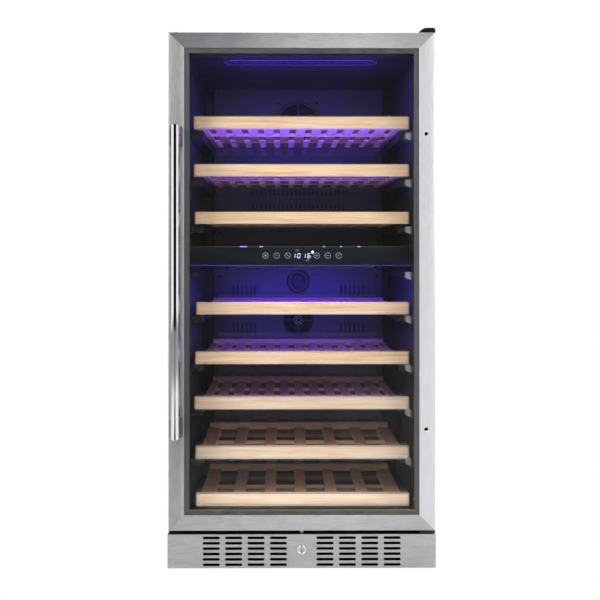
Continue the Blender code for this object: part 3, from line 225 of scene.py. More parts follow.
def chromium_plate_painted_dark_rim():
    """Chromium plate on a turned bar: mirror gloss with a trace of haze, and a painted reflection:
    its colour darkens towards the edges, where the bar turns away.
    """
    made, tree, shader = new_finish("chromium_plate_painted_dark_rim", 0.04, 1.0)
    haze = grain_noise(tree, (25, 25, 40))
    # Painted reflection: a dark rim where the surface turns away from view.
    slant = add_node(tree, "LayerWeight", {"Blend": 0.5})
    tone = add_node(tree, "ValToRGB", {"Fac": slant.outputs["Facing"]},
                    stops=[(0.0, "#F2F3F5"), (0.62, "#E9EAEC"), (0.74, "#3C3C3F")])
    gloss = add_node(tree, "MapRange", {"Value": haze.outputs["Fac"], **GRAIN_SPAN,
                                        "To Min": 0.03, "To Max": 0.06})
    tree.links.new(tone.outputs[0], shader.inputs["Base Color"])
    tree.links.new(gloss.outputs[0], shader.inputs["Roughness"])
    return made


def galvanised_sheet():
    """Hot-dip galvanised steel: dull zinc in crystals 9 mm across, each with its own tone."""
    made, tree, shader = new_finish("galvanised_steel", 0.42, 1.0)
    coords = add_node(tree, "TexCoord")
    scaled = add_node(tree, "Mapping", {"Vector": coords.outputs["Object"],
                                        "Scale": [1 / (9 * MM)] * 3})
    crystal = add_node(tree, "TexVoronoi", {"Vector": scaled.outputs[0], "Scale": 1.0})
    tone = add_node(tree, "ValToRGB", {"Fac": crystal.outputs["Color"]},
                    stops=[(0.1, "#8E9295"), (0.5, "#A3A7AA"), (0.9, "#B9BDC0")])
    gloss = add_node(tree, "MapRange", {"Value": crystal.outputs["Color"], "To Min": 0.32,
                                        "To Max": 0.5})
    tree.links.new(tone.outputs[0], shader.inputs["Base Color"])
    tree.links.new(gloss.outputs[0], shader.inputs["Roughness"])
    relief(tree, shader, crystal.outputs["Distance"], 0.02)
    return made


def float_glass():
    """Clear float glass with a low-reflection coat; the faint grey veil of the room on it is
    painted on as a glow, a painted reflection.

    Its faces wave by 4 micrometres over 160 mm. All the light that falls in passes straight
    through, as does 0.93 of what is behind the pane; the rest meets the glass.
    """
    made, tree, shader = new_finish("float_glass", 0.0, Transmission_Weight=1.0, IOR=1.45,
                                    Base_Color="#F6FAF8", Emission_Color="#E8ECEA",
                                    Emission_Strength=0.027)
    ripple = grain_noise(tree, (160, 160, 160), 1.0)
    relief(tree, shader, ripple.outputs["Fac"], 0.004)
    rays = add_node(tree, "LightPath")
    let_through = add_node(tree, "MapRange", {"Value": rays.outputs["Is Shadow Ray"],
                                              "To Min": 0.93})
    clear = add_node(tree, "BsdfTransparent")
    pane = add_node(tree, "MixShader", {0: let_through.outputs[0], 1: shader.outputs[0],
                                        2: clear.outputs[0]})
    tree.links.new(pane.outputs[0], tree.nodes["Material Output"].inputs["Surface"])
    return made


def glowing(name, colour, strength, tones=("#2A1F66", "#4A35B8")):
    """Frosted polycarbonate lit from inside: its own colour under an even glow. On the silver ink
    and the panel's edge glints the same glow is painted light.
    """
    made = surface(name, tones, (0.25, 0.4), (2, 2, 2))
    shader = made.node_tree.nodes["Principled BSDF"]
    shader.inputs["Emission Color"].default_value = srgb(colour)
    shader.inputs["Emission Strength"].default_value = strength
    return made


DOOR_LOW, DOOR_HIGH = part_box("door_frame")

FINISHES = {
    # finish: (material, slot of the record)
    # Each length of the brushed frame is a sheet of its own; its run of tones is painted light and
    # shade: the top rail darker to the left, the right stile lit brighter than the left one.
    "rail_top": (brushed_stainless("stainless_top_rail_painted_light", "X", DOOR_LOW.x, DOOR_HIGH.x,
                                   ["#828286", "#9C9CA0", "#CCCCCC", "#D2D2D1", "#B9B9B8"]),
                 "brushed_steel"),
    "rail_bottom": (brushed_stainless("stainless_bottom_rail_painted_light", "X", DOOR_LOW.x, DOOR_HIGH.x,
                                      ["#B8B8B7", "#C8C8C8", "#CECECD", "#BCBCBB"]),
                    "brushed_steel"),
    "stile_left": (brushed_stainless("stainless_left_stile_painted_shade", "Z", DOOR_LOW.z, DOOR_HIGH.z,
                                     ["#AEAEAD", "#A6A6A5", "#AAAAA8", "#B0B0AE"],
                                     painted_highlight_from=-273 * MM), "brushed_steel"),
    "stile_right": (brushed_stainless("stainless_right_stile_painted_light", "Z", DOOR_LOW.z, DOOR_HIGH.z,
                                      ["#E2E2E6", "#E4E3E8", "#E4E3E8"], 0.3), "brushed_steel"),
    # The plinth's run of tones is painted light and shade as well.
    "kick_steel": (brushed_stainless("stainless_kick_plate_painted_light", "X", DOOR_LOW.x, DOOR_HIGH.x,
                                     ["#BCBCBC", "#C4C4C4", "#C0C0C0"]), "brushed_steel"),
    "chrome": (chromium_plate_painted_dark_rim(), "chrome"),
    # Cast zinc feet of the handle, their grey darkened to stand for the bar's shadow on them and
    # beside them: painted shadow.
    "mount": (surface("zinc_casting_shadow_painted", ("#5E5E5D", "#6C6C6A"), (0.36, 0.44), (3, 3, 14),
                      0.02, 0.6), "chrome"),
    # Satin dark anodised extrusion: even grey with faint drawing lines.
    "band": (surface("anodised_aluminium", ("#565654", "#62625F", "#6B6B69"), (0.34, 0.46),
                     (30, 3, 30), 0.01, 1.0), "frame_plastic"),
    "band_left": (surface("anodised_aluminium_upright", ("#5C5D5B", "#686867"), (0.34, 0.46),
                          (4, 3, 120), 0.01, 1.0), "frame_plastic"),
    # Polyester powder coat on steel: black with a fine orange peel 1.2 mm across.
    "shell": (surface("black_powder_coat", ("#17171A", "#1E1E21"), (0.40, 0.52),
                      (1.2, 1.2, 1.2), 0.03), "black_painted_steel"),
    "galvanised": (galvanised_sheet(), "galvanised_steel"),
    # Vacuum-formed polystyrene: glossy near-black with a soft, slightly wavy skin.
    "liner": (surface("black_polystyrene", ("#24252A", "#2C2D33"), (0.34, 0.42),
                      (60, 60, 60), 0.12, Specular_IOR_Level=0.3), "black_liner"),
    # Moulded ABS with a fine spark-eroded texture, a little duller than the liner.
    "duct": (surface("black_abs_fine_texture", ("#36373D", "#404148"), (0.36, 0.46),
                     (0.9, 0.9, 0.9), 0.02), "black_liner"),
    # Back-painted tempered glass: deep blue-black under a polished face.
    "panel": (surface("back_painted_glass", ("#23292D", "#2F373C"), (0.05, 0.08),
                      (140, 40, 30)), "dark_glass"),
    # Silver screen-printing ink on the panel, given a painted glow so that it is just bright
    # enough to read.
    "ink": (glowing("silver_ink_painted_glow", "#8C99A3", 0.9, ("#7F8B93", "#A5B0B8")), "dark_glass"),
    # Light-emitting digits behind the glass: violet-white.
    "digits": (glowing("digit_segments", "#DDD2FF", 1.9, ("#B9A6F5", "#D8CCFF")), "dark_glass"),
    # A bare diode in a clear dome: the brightest point of the panel, almost white.
    "indicator": (glowing("indicator_led", "#E6DCFF", 9.0, ("#CFC0FF", "#FFFFFF")),
                  "dark_glass"),
    # Moulded lamp lenses pass the diodes' violet on to their rims.
    "lamp_rim": (glowing("lit_lens_rim", "#5A34E0", 1.3), "lamp_lens"),
    "lamp_led": (glowing("violet_led", "#6F4CFF", 0.8), "lamp_lens"),
    # Glints of the lamps' diodes on the panel's top edge, drawn as glowing bars: painted
    # reflections.
    "painted_glint": (glowing("painted_diode_glint", "#9A7BFF", 3.0), "lamp_lens"),
    # Ground edge of the panel's glass, which glows where lamp light leaves it.
    "lit_edge": (glowing("lit_glass_edge", "#4A30C8", 0.9), "dark_glass"),
    # Smoked polycarbonate cover, dark violet where no diode is behind it.
    "lens": (surface("smoked_polycarbonate", ("#1A1440", "#2B1F6E"), (0.12, 0.22),
                     (14, 14, 14), 0.05), "lamp_lens"),
    "glass": (float_glass(), "clear_glass"),
    # Aluminium anodised matt black, so that nothing glints between the panes or behind the vents.
    "black_anodised": (surface("black_anodised_aluminium", ("#0A0A0C", "#121215"), (0.5, 0.6),
                               (20, 2, 2), 0.01, 0.3), "aluminium"),
    # Extruded EPDM: matt black-grey with a faint bloom.
    "gasket": (surface("epdm_rubber", ("#141415", "#1D1D1E"), (0.65, 0.82), (9, 9, 9), 0.05),
               "rubber"),
    # Zinc-plated and clear-passivated steel: cool grey with a slight mottle.
    "zinc": (surface("zinc_plate", ("#B4B8BC", "#CDD0D4"), (0.30, 0.42), (12, 12, 6), 0.02,
                     1.0), "zinc"),
    # Zinc of the right runners' front ends, painted brighter and more matt than the bolts' for the
    # light they catch: painted light.
    "pale_zinc": (surface("zinc_painted_light", ("#D6D8DA", "#E6E8EA"), (0.45, 0.58),
                          (12, 12, 6), 0.02, 0.15), "zinc"),
    # The runners' zinc painted dark, with only a dull gleam: painted shade on every channel and on
    # the left runners' front ends.
    "dark_zinc": (surface("zinc_painted_shade", ("#26262C", "#34343C"), (0.40, 0.5), (12, 12, 6),
                          0.02, 0.5), "zinc"),
    # Glass-filled nylon of the slides, fans and feet: dull black with a moulded grain.
    "nylon": (surface("black_nylon", ("#131315", "#1F1F22"), (0.42, 0.58), (1.4, 1.4, 1.4),
                      0.03), "black_plastic"),
    # Moulded polycarbonate of the covers and guards: smooth, black, with a low sheen.
    "dark_cap": (surface("black_polycarbonate", ("#050608", "#0C0D12"), (0.24, 0.34),
                         (8, 8, 8), 0.02, Specular_IOR_Level=0.2), "black_plastic"),
    # Charcoal-loaded ABS of the filter cap.
    "charcoal": (surface("charcoal_abs", ("#36373D", "#424349"), (0.45, 0.6), (1.5, 1.5, 1.5),
                         0.04), "charcoal_plastic"),
    # Matt black sheet behind the plinth's slots, in the lock's keyway and in the spare holes' cups:
    # it stands for the shade in these hollows, painted shade.
    "hollow_shade": (surface("black_painted_shade", ("#020202", "#060606"), (0.9, 1.0), (0.7, 0.7, 0.7), 0.3,
                     Specular_IOR_Level=0.0), "black_plastic"),
    # Stove enamel on the compressor's drawn can.
    "enamel": (surface("stove_enamel", ("#121214", "#1C1C1F"), (0.25, 0.38), (5, 5, 5), 0.05),
               "compressor_black"),
    # Aluminium fins on copper tube: grey blades a few millimetres apart with dusty edges.
    "fins": (surface("condenser_fins", ("#8D9092", "#B4B7B9"), (0.38, 0.52), (30, 30, 1.8),
                     0.4, 1.0), "copper_fins"),
    # Rigid polyurethane foam: straw-coloured cells.
    "foam": (surface("rigid_foam", ("#CDB877", "#E2D3A0"), (0.85, 0.95), (2.5, 2.5, 2.5),
                     0.5), "foam"),
    # Rails show long grain, slats and side boards run front to back, bars across.
    "beech_rail": (beech("beech_long_grain", "X", ["#E6BB8E", "#F8D4AB", "#FFE6C4"]), "beech"),
    "beech_rail_pale": (beech("beech_pale_grain", "X", ["#E3BF9F", "#F2D4B8", "#FAE6D2"]),
                        "beech"),
    # The slats are toned darker than the bars for the shade under the decks, and the bars lighter
    # for the light their front faces catch: painted shade and painted light.
    "beech_slat": (beech("beech_slats", "Y", ["#B58A6C", "#C59B7C", "#D3AC8E"]), "beech"),
    "beech_bar": (beech("beech_bars", "X", ["#C79D7B", "#D9B08C", "#E3BE9C"]), "beech"),
}


# ---- Pieces ------------------------------------------------------------------------------------
def piece(name, mesh, finish, body="cabinet", instead_of=(), edge=0.0):
    """Links a mesh as a piece on a body, with rounded edges, in place of any CAD nodes named."""
    made = bpy.data.objects.new(name, mesh)
    bpy.context.scene.collection.objects.link(made)
    material, slot = FINISHES[finish]
    mesh.materials.clear()
    mesh.materials.append(material)
    if made.type == "MESH":
        mesh.shade_smooth()
        mesh.set_sharp_from_angle(angle=math.radians(CREASE))
    if edge:
        round_off = made.modifiers.new("rounded_edges", "BEVEL")
        round_off.width = edge
        round_off.segments = 2
        round_off.limit_method = "ANGLE"
        round_off.angle_limit = math.radians(ROUNDED_FROM)
        round_off.harden_normals = True
    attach(made, body)
    if instead_of:
        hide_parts(*instead_of)
    return made


def mesh_of(name, fill):
    """A mesh that fill(work) builds, with its faces turned outwards."""
    mesh = bpy.data.meshes.new(name)
    work = bmesh.new()
    fill(work)
    bmesh.ops.recalc_face_normals(work, faces=work.faces)
    work.to_mesh(mesh)
    work.free()
    return mesh


def boards(name, boxes, finish, **how):
    """One piece of plain boards or blocks, each between two opposite corners."""
    def fill(work):
        for low, high in boxes:
            corner, size = Vector(low), Vector(high) - Vector(low)
            place = Matrix.Translation(corner + size / 2) @ Matrix.Diagonal((*size, 1))
            bmesh.ops.create_cube(work, size=1, matrix=place)
    return piece(name, mesh_of(name, fill), finish, **how)


def axis_turn(axis):
    """Rotation that takes +Z to an axis; "-Y" points to the front."""
    return {"X": Matrix.Rotation(math.pi / 2, 4, "Y"), "Y": Matrix.Rotation(-math.pi / 2, 4, "X"),
            "-Y": Matrix.Rotation(math.pi / 2, 4, "X"), "Z": Matrix.Identity(4)}[axis]


def turned(name, rows, finish, steps=48, **how):
    """Turned pieces in one mesh: rows of (centre, axis, profile of (radius, height) points)."""
    def fill(work):
        for centre, axis, profile in rows:
            place = Matrix.Translation(centre) @ axis_turn(axis)
            rings = []
            for radius, height in profile:
                count = 1 if radius == 0 else steps
                rings.append([work.verts.new(place @ Vector((
                    radius * math.cos(math.tau * i / steps),
                    radius * math.sin(math.tau * i / steps), height))) for i in range(count)])
            for first, second in zip(rings, rings[1:]):
                for i in range(steps):
                    j = (i + 1) % steps
                    loop = [first[i % len(first)], first[j % len(first)],
                            second[j % len(second)], second[i % len(second)]]
                    work.faces.new(list(dict.fromkeys(loop)))
            for ring in (rings[0], rings[-1]):
                if len(ring) > 1 and profile[0] != profile[-1]:
                    work.faces.new(ring)
        bmesh.ops.remove_doubles(work, verts=work.verts, dist=SAME_POINT)
    return piece(name, mesh_of(name, fill), finish, **how)


def rod(radius, length, chamfer=0.0):
    """Profile of a plain pin or bar from 0 to length."""
    return [(0, 0), (radius - chamfer, 0), (radius, chamfer), (radius, length - chamfer),
            (radius - chamfer, length), (0, length)]


def flat_mesh(name, outlines, plane, start, end):
    """Closed outlines, holes among them, filled and extruded from start to end across a plane."""
    curve = bpy.data.curves.new(name, "CURVE")
    curve.dimensions = "2D"
    curve.fill_mode = "BOTH"
    curve.extrude = (end - start) / 2
    for outline in outlines:
        spline = curve.splines.new("POLY")
        spline.points.add(len(outline) - 1)
        for point, (u, v) in zip(spline.points, outline):
            point.co = (u, v, 0, 1)
        spline.use_cyclic_u = True
    guide = bpy.data.objects.new(name, curve)
    bpy.context.scene.collection.objects.link(guide)
    mesh = bpy.data.meshes.new_from_object(
        guide.evaluated_get(bpy.context.evaluated_depsgraph_get()))
    bpy.data.objects.remove(guide, do_unlink=True)
    middle = (start + end) / 2
    turn = {"XY": Matrix.Translation((0, 0, middle)),
            "XZ": Matrix.Translation((0, middle, 0)) @ Matrix.Rotation(math.pi / 2, 4, "X"),
            "YZ": Matrix.Translation((middle, 0, 0)) @ Matrix(
                ((0, 0, 1, 0), (1, 0, 0, 0), (0, 1, 0, 0), (0, 0, 0, 1)))}[plane]
    work = bmesh.new()
    work.from_mesh(mesh)
    bmesh.ops.remove_doubles(work, verts=work.verts, dist=SAME_POINT)
    bmesh.ops.transform(work, matrix=turn, verts=work.verts)
    bmesh.ops.recalc_face_normals(work, faces=work.faces)
    work.to_mesh(mesh)
    work.free()
    return mesh


def arc(centre, radius, start, stop, count=6):
    """Points of an arc between two angles in degrees."""
    points = []
    for i in range(count + 1):
        turn = math.radians(start + (stop - start) * i / count)
        points.append((centre[0] + radius * math.cos(turn), centre[1] + radius * math.sin(turn)))
    return points


def rounded_box(x0, v0, x1, v1, radius, count=6):
    """Outline of a rectangle with round corners."""
    return (arc((x1 - radius, v0 + radius), radius, -90, 0, count)
            + arc((x1 - radius, v1 - radius), radius, 0, 90, count)
            + arc((x0 + radius, v1 - radius), radius, 90, 180, count)
            + arc((x0 + radius, v0 + radius), radius, 180, 270, count))


def strokes(name, lines, width, finish, **how):
    """Round wires through rows of points; a row that ends on its start is closed."""
    curve = bpy.data.curves.new(name, "CURVE")
    curve.dimensions = "3D"
    curve.bevel_depth = width / 2
    curve.bevel_resolution = 2
    curve.use_fill_caps = True
    for line in lines:
        closed = (Vector(line[0]) - Vector(line[-1])).length < SAME_POINT
        points = line[:-1] if closed else line
        spline = curve.splines.new("POLY")
        spline.points.add(len(points) - 1)
        for point, place in zip(spline.points, points):
            point.co = (*place, 1)
        spline.use_cyclic_u = closed
    return piece(name, curve, finish, **how)


def ring_line(centre, radius, plane="XZ", count=40):
    """A closed circle of points in a plane through its centre."""
    line = []
    for i in range(count + 1):
        u, v = radius * math.cos(math.tau * i / count), radius * math.sin(math.tau * i / count)
        step = {"XZ": (u, 0, v), "YZ": (0, u, v), "XY": (u, v, 0)}[plane]
        line.append(tuple(Vector(centre) + Vector(step)))
    return line


def softened(node, name, edge, finish):
    """A CAD node's shape with its flat faces joined and its edges rounded."""
    source = frame["nodes"][node]
    work = bmesh.new()
    work.from_mesh(source.data)
    bmesh.ops.remove_doubles(work, verts=work.verts, dist=SAME_POINT)
    bmesh.ops.dissolve_limit(work, angle_limit=math.radians(0.5), verts=work.verts,
                             edges=work.edges)
    mesh = bpy.data.meshes.new(name)
    work.to_mesh(mesh)
    work.free()
    return piece(name, mesh, finish, source["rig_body"], (node,), edge)


def refinish(finish, *nodes):
    """Gives CAD nodes whose shape is right their finish."""
    for node in nodes:
        mesh = frame["nodes"][node].data
        mesh.materials.clear()
        mesh.materials.append(FINISHES[finish][0])


def carve(target, *cutters):
    """Cuts plain solids out of a piece for good."""
    for cutter in cutters:
        step = target.modifiers.new("cut", "BOOLEAN")
        step.object = cutter
        step.operation = "DIFFERENCE"
    depsgraph = bpy.context.evaluated_depsgraph_get()
    mesh = bpy.data.meshes.new_from_object(target.evaluated_get(depsgraph))
    target.modifiers.clear()
    target.data = mesh
    mesh.set_sharp_from_angle(angle=math.radians(CREASE))
    for cutter in cutters:
        bpy.data.objects.remove(cutter, do_unlink=True)


def cutter(fill):
    """A solid that carve() takes away and then removes."""
    made = bpy.data.objects.new("cutter", mesh_of("cutter", fill))
    bpy.context.scene.collection.objects.link(made)
    return made


def mitred_frame(names, profile, low, high, finishes, gap, instead_of=(), body="door"):
    """Four lengths of one profile round a rectangle, mitred at its corners.

    profile is a closed row of (inset from the rectangle, y); names and finishes run top, bottom,
    left, right.
    """
    made = []
    for index, (name, finish) in enumerate(zip(names, finishes)):
        def fill(work):
            ends = ([], [])
            for inset, y in profile:
                near, far = inset + gap, inset
                corners = (((low.x + near, high.z - far), (high.x - near, high.z - far)),
                           ((low.x + near, low.z + far), (high.x - near, low.z + far)),
                           ((low.x + far, low.z + near), (low.x + far, high.z - near)),
                           ((high.x - far, low.z + near), (high.x - far, high.z - near)))[index]
                for end, (x, z) in zip(ends, corners):
                    end.append(work.verts.new((x, y, z)))
            count = len(profile)
            for i in range(count):
                j = (i + 1) % count
                work.faces.new((ends[0][i], ends[0][j], ends[1][j], ends[1][i]))
            work.faces.new(ends[0])
            work.faces.new(ends[1])
        made.append(piece(name, mesh_of(name, fill), finish, body,
                          instead_of if index == 0 else ()))
    return made


# ---- Door --------------------------------------------------------------------------------------
FACE, BACK = DOOR_LOW.y, DOOR_HIGH.y
# Widths seen from the front: the steel, and the dark band to its inner edge.
STEEL_FACE, BAND_EDGE = 34.5 * MM, 46 * MM
SHEET = 1.5 * MM
STEEL_GAP, BAND_GAP = 0.12 * MM, 0.08 * MM
PIN_HOLE = 4.6 * MM


def make_door():
    """Steel rails and stiles, the dark band round the glass, the two panes and the gasket."""
    outer, inner = 1.2 * MM, 0.8 * MM
    fold = FACE + 3.5 * MM
    profile = ([(0, BACK)] + arc((outer, FACE + outer), outer, 180, 270)
               + arc((STEEL_FACE - inner, FACE + inner), inner, 270, 360)
               + [(STEEL_FACE, fold), (STEEL_FACE - SHEET, fold),
                  (STEEL_FACE - SHEET, FACE + SHEET), (SHEET, FACE + SHEET), (SHEET, BACK)])
    steel = mitred_frame(("door_top_rail", "door_bottom_rail", "door_left_stile",
                          "door_right_stile"), profile, DOOR_LOW, DOOR_HIGH,
                         ("rail_top", "rail_bottom", "stile_left", "stile_right"), STEEL_GAP,
                         ("door_frame",))
    lip = STEEL_FACE + 0.15 * MM
    core = SHEET + 0.4 * MM
    pocket = 38.3 * MM
    profile = [(lip, FACE + 2.2 * MM), (BAND_EDGE - 1.4 * MM, FACE + 2.2 * MM),
               (BAND_EDGE, FACE + 3.6 * MM), (BAND_EDGE, FACE + 5.7 * MM),
               (pocket, FACE + 5.7 * MM), (pocket, BACK - 0.4 * MM), (core, BACK - 0.4 * MM),
               (core, FACE + 1.8 * MM), (STEEL_FACE - 1.7 * MM, FACE + 1.8 * MM),
               (STEEL_FACE - 1.7 * MM, FACE + 3.8 * MM), (lip, FACE + 3.8 * MM)]
    band = mitred_frame(("band_top", "band_bottom", "band_left", "band_right"), profile,
                        DOOR_LOW, DOOR_HIGH, ("band", "band", "band_left", "band_left"),
                        BAND_GAP, ("door_inner_frame",))
    bolt_low, bolt_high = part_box("lock_bolt")
    pin = Vector(frame["joints"][0]["pos_m"])

    def strike(work):
        size = (bolt_high - bolt_low) + Vector((2 * MM, 2 * MM, 20 * MM))
        middle = (bolt_low + bolt_high) / 2
        middle.z = DOOR_LOW.z
        place = Matrix.Translation(middle) @ Matrix.Diagonal((*size, 1))
        bmesh.ops.create_cube(work, size=1, matrix=place)

    def pin_hole(height):
        def fill(work):
            bmesh.ops.create_cone(work, cap_ends=True, segments=24, radius1=PIN_HOLE,
                                  radius2=PIN_HOLE, depth=24 * MM,
                                  matrix=Matrix.Translation((pin.x, pin.y, height)))
        return fill

    for rails in (steel, band):
        carve(rails[0], cutter(pin_hole(DOOR_HIGH.z)))
        carve(rails[1], cutter(strike), cutter(pin_hole(DOOR_LOW.z)))
        carve(rails[3], cutter(pin_hole(DOOR_HIGH.z)), cutter(pin_hole(DOOR_LOW.z)))

    softened("glass_spacer", "pane_spacer", 0.3 * MM, "black_anodised")
    for node, name in (("outer_glass", "outer_pane"), ("inner_glass", "inner_pane")):
        softened(node, name, 0.4 * MM, "glass")
    low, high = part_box("door_gasket")
    width, depth = 18 * MM, high.y - low.y
    # A foot on the door, a waist that gives, and a magnet sleeve towards the cabinet.
    profile = [(0.2 * MM, low.y), (width - 0.2 * MM, low.y), (width, low.y + 0.3 * depth),
               (width - 2.5 * MM, low.y + 0.45 * depth), (width, low.y + 0.6 * depth),
               (width, high.y - 0.5 * MM), (width - 0.5 * MM, high.y),
               (0.5 * MM, high.y), (0, high.y - 0.5 * MM), (0, low.y + 0.6 * depth),
               (2.5 * MM, low.y + 0.45 * depth), (0, low.y + 0.3 * depth)]
    mitred_frame(("gasket_top", "gasket_bottom", "gasket_left", "gasket_right"), profile, low,
                 high, ("gasket",) * 4, 0.02 * MM, ("door_gasket",))


BAR_WIDER = 1.11
# The mounts reach 13 mm to each side of the bar and stand 41 mm tall, so that their dark grey
# covers the bar's shadow on the stile: painted shadow.
MOUNT_HALF, MOUNT_HEIGHT = 13 * MM, 41 * MM


def make_handle():
    """Chromed bar on two castings, and the cups in the right stile's spare holes."""
    low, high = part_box("handle")
    radius = (high.x - low.x) / 2
    centre = Vector(((low.x + high.x) / 2, low.y + radius, low.z + 1.5 * MM))
    bar = turned("door_handle", [(centre, "Z", rod(radius, high.z - low.z - 3.5 * MM, 1.2 * MM))],
                 "chrome", 64, body="door", instead_of=("handle",))
    # The bar is 2 mm wider than it is deep.
    for vertex in bar.data.vertices:
        vertex.co.x = centre.x + (vertex.co.x - centre.x) * BAR_WIDER
    top, bottom = high.z - 4.5 * MM, low.z + 4 * MM
    boards("handle_mounts", [((centre.x - MOUNT_HALF, centre.y + radius - 1.5 * MM, z),
                              (centre.x + MOUNT_HALF, FACE - 0.1 * MM, z + MOUNT_HEIGHT))
                             for z in (top - MOUNT_HEIGHT, bottom)], "mount", body="door",
           edge=1.2 * MM)
    stile = bpy.data.objects["door_right_stile"]
    for node in ("upper_hole_plug", "lower_hole_plug"):
        low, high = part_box(node)
        middle = (low + high) / 2
        rim = (high.x - low.x) / 2

        def bore(work):
            bmesh.ops.create_cone(work, cap_ends=True, segments=32, radius1=rim - 0.8 * MM,
                                  radius2=rim - 0.8 * MM, depth=6 * MM,
                                  matrix=Matrix.Translation((middle.x, FACE, middle.z))
                                  @ axis_turn("Y"))
        carve(stile, cutter(bore))
        cup = [(0, -2.9 * MM), (rim * 0.3, -2.7 * MM), (rim - 1.5 * MM, 0.2 * MM),
               (rim - 1.1 * MM, 0.55 * MM), (rim - 0.3 * MM, 0.45 * MM), (rim, 0.02 * MM),
               (rim - 1 * MM, 0.02 * MM), (rim * 0.3 + 0.4 * MM, -3.4 * MM), (0, -3.4 * MM)]
        turned(node + "_cup", [((middle.x, FACE, middle.z), "-Y", cup)], "chrome", 40,
               body="door", instead_of=(node,))
        # A black disc set left of the cup's middle stands for the shadow in the cup's left half:
        # painted shadow.
        painted_cup_shadow = Vector((middle.x - rim * 0.28, FACE + 1.2 * MM, middle.z))
        turned(node + "_pit", [(painted_cup_shadow, "-Y", rod(rim * 0.5, 1.3 * MM, 0.2 * MM))], "hollow_shade", 28,
               body="door")


# ---- Plinth and lock ---------------------------------------------------------------------------
SLOT_LENGTH, SLOT_HEIGHT = 38 * MM, 6 * MM
SLOT_ROWS, SLOT_PITCH = 6, 11.9 * MM
COLUMNS, COLUMN_FIRST, COLUMN_PITCH = 4, 51.7 * MM, 49.6 * MM
LOCK_RIM, LOCK_CORE, LOCK_HOLE = 10 * MM, 6.6 * MM, 8.3 * MM
PLINTH_FACE, PLINTH_FOLD = 1 * MM, 1.2 * MM
# Half of the opening in the plinth's top fold, through which the bolt rises.
BOLT_GAP = 4.5 * MM


def make_plinth():
    """Slotted face with a black sheet of painted shade behind it, folded returns, and the lock
    with its bolt.
    """
    low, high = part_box("kick_plate")
    lock_low, lock_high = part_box("lock_barrel")
    lock = Vector((0, low.y, lock_high.z - LOCK_RIM))
    holes = [[(lock.x + u, lock.z + v) for u, v in arc((0, 0), LOCK_HOLE, 0, 345, 23)]]
    middle = (low.z + high.z) / 2
    for side in (-1, 1):
        for column in range(COLUMNS):
            x = side * (COLUMN_FIRST + column * COLUMN_PITCH)
            for row in range(SLOT_ROWS):
                z = middle + (row - (SLOT_ROWS - 1) / 2) * SLOT_PITCH
                holes.append(rounded_box(x - SLOT_LENGTH / 2, z - SLOT_HEIGHT / 2,
                                         x + SLOT_LENGTH / 2, z + SLOT_HEIGHT / 2,
                                         SLOT_HEIGHT / 2 - 0.01 * MM, 5))
    face = rounded_box(low.x, low.z, high.x, high.z, 1 * MM, 3)
    skin = flat_mesh("plinth_face", [face] + holes, "XZ", low.y, low.y + PLINTH_FACE)
    piece("plinth_face", skin, "kick_steel", instead_of=("kick_plate",))
    inset = 0.2 * MM
    back = high.y
    front = low.y + 1.05 * MM
    fold, top = high.z - PLINTH_FOLD, high.z - inset
    bolt_low, bolt_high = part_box("lock_bolt")
    near, far = bolt_low.y - 1 * MM, bolt_high.y + 1 * MM
    boxes = [((low.x + inset, front, low.z + inset), (high.x - inset, back, low.z + PLINTH_FOLD)),
             ((low.x + inset, front, fold), (-BOLT_GAP, back, top)),
             ((BOLT_GAP, front, fold), (high.x - inset, back, top)),
             ((-BOLT_GAP, front, fold), (BOLT_GAP, near, top)),
             ((-BOLT_GAP, far, fold), (BOLT_GAP, back, top))]
    boards("plinth_returns", boxes, "shell")
    foot, crown = low.z + 1 * MM, high.z - 0.3 * MM
    sides = [((low.x, front, foot), (low.x + PLINTH_FACE, back, crown)),
             ((high.x - PLINTH_FACE, front, foot), (high.x, back, crown))]
    boards("plinth_sides", sides, "kick_steel", edge=0.2 * MM)
    hollow_shade = []
    for side in (-1, 1):
        ends = sorted((side * 17 * MM, side * (high.x - 3 * MM)))
        hollow_shade.append(((ends[0], front + 0.3 * MM, low.z + 2 * MM),
                     (ends[1], front + 2.3 * MM, high.z - 2 * MM)))
    boards("plinth_slot_shade", hollow_shade, "hollow_shade")
    make_lock(lock, lock_low, lock_high)
    softened("lock_bolt", "bolt", 0.5 * MM, "zinc")


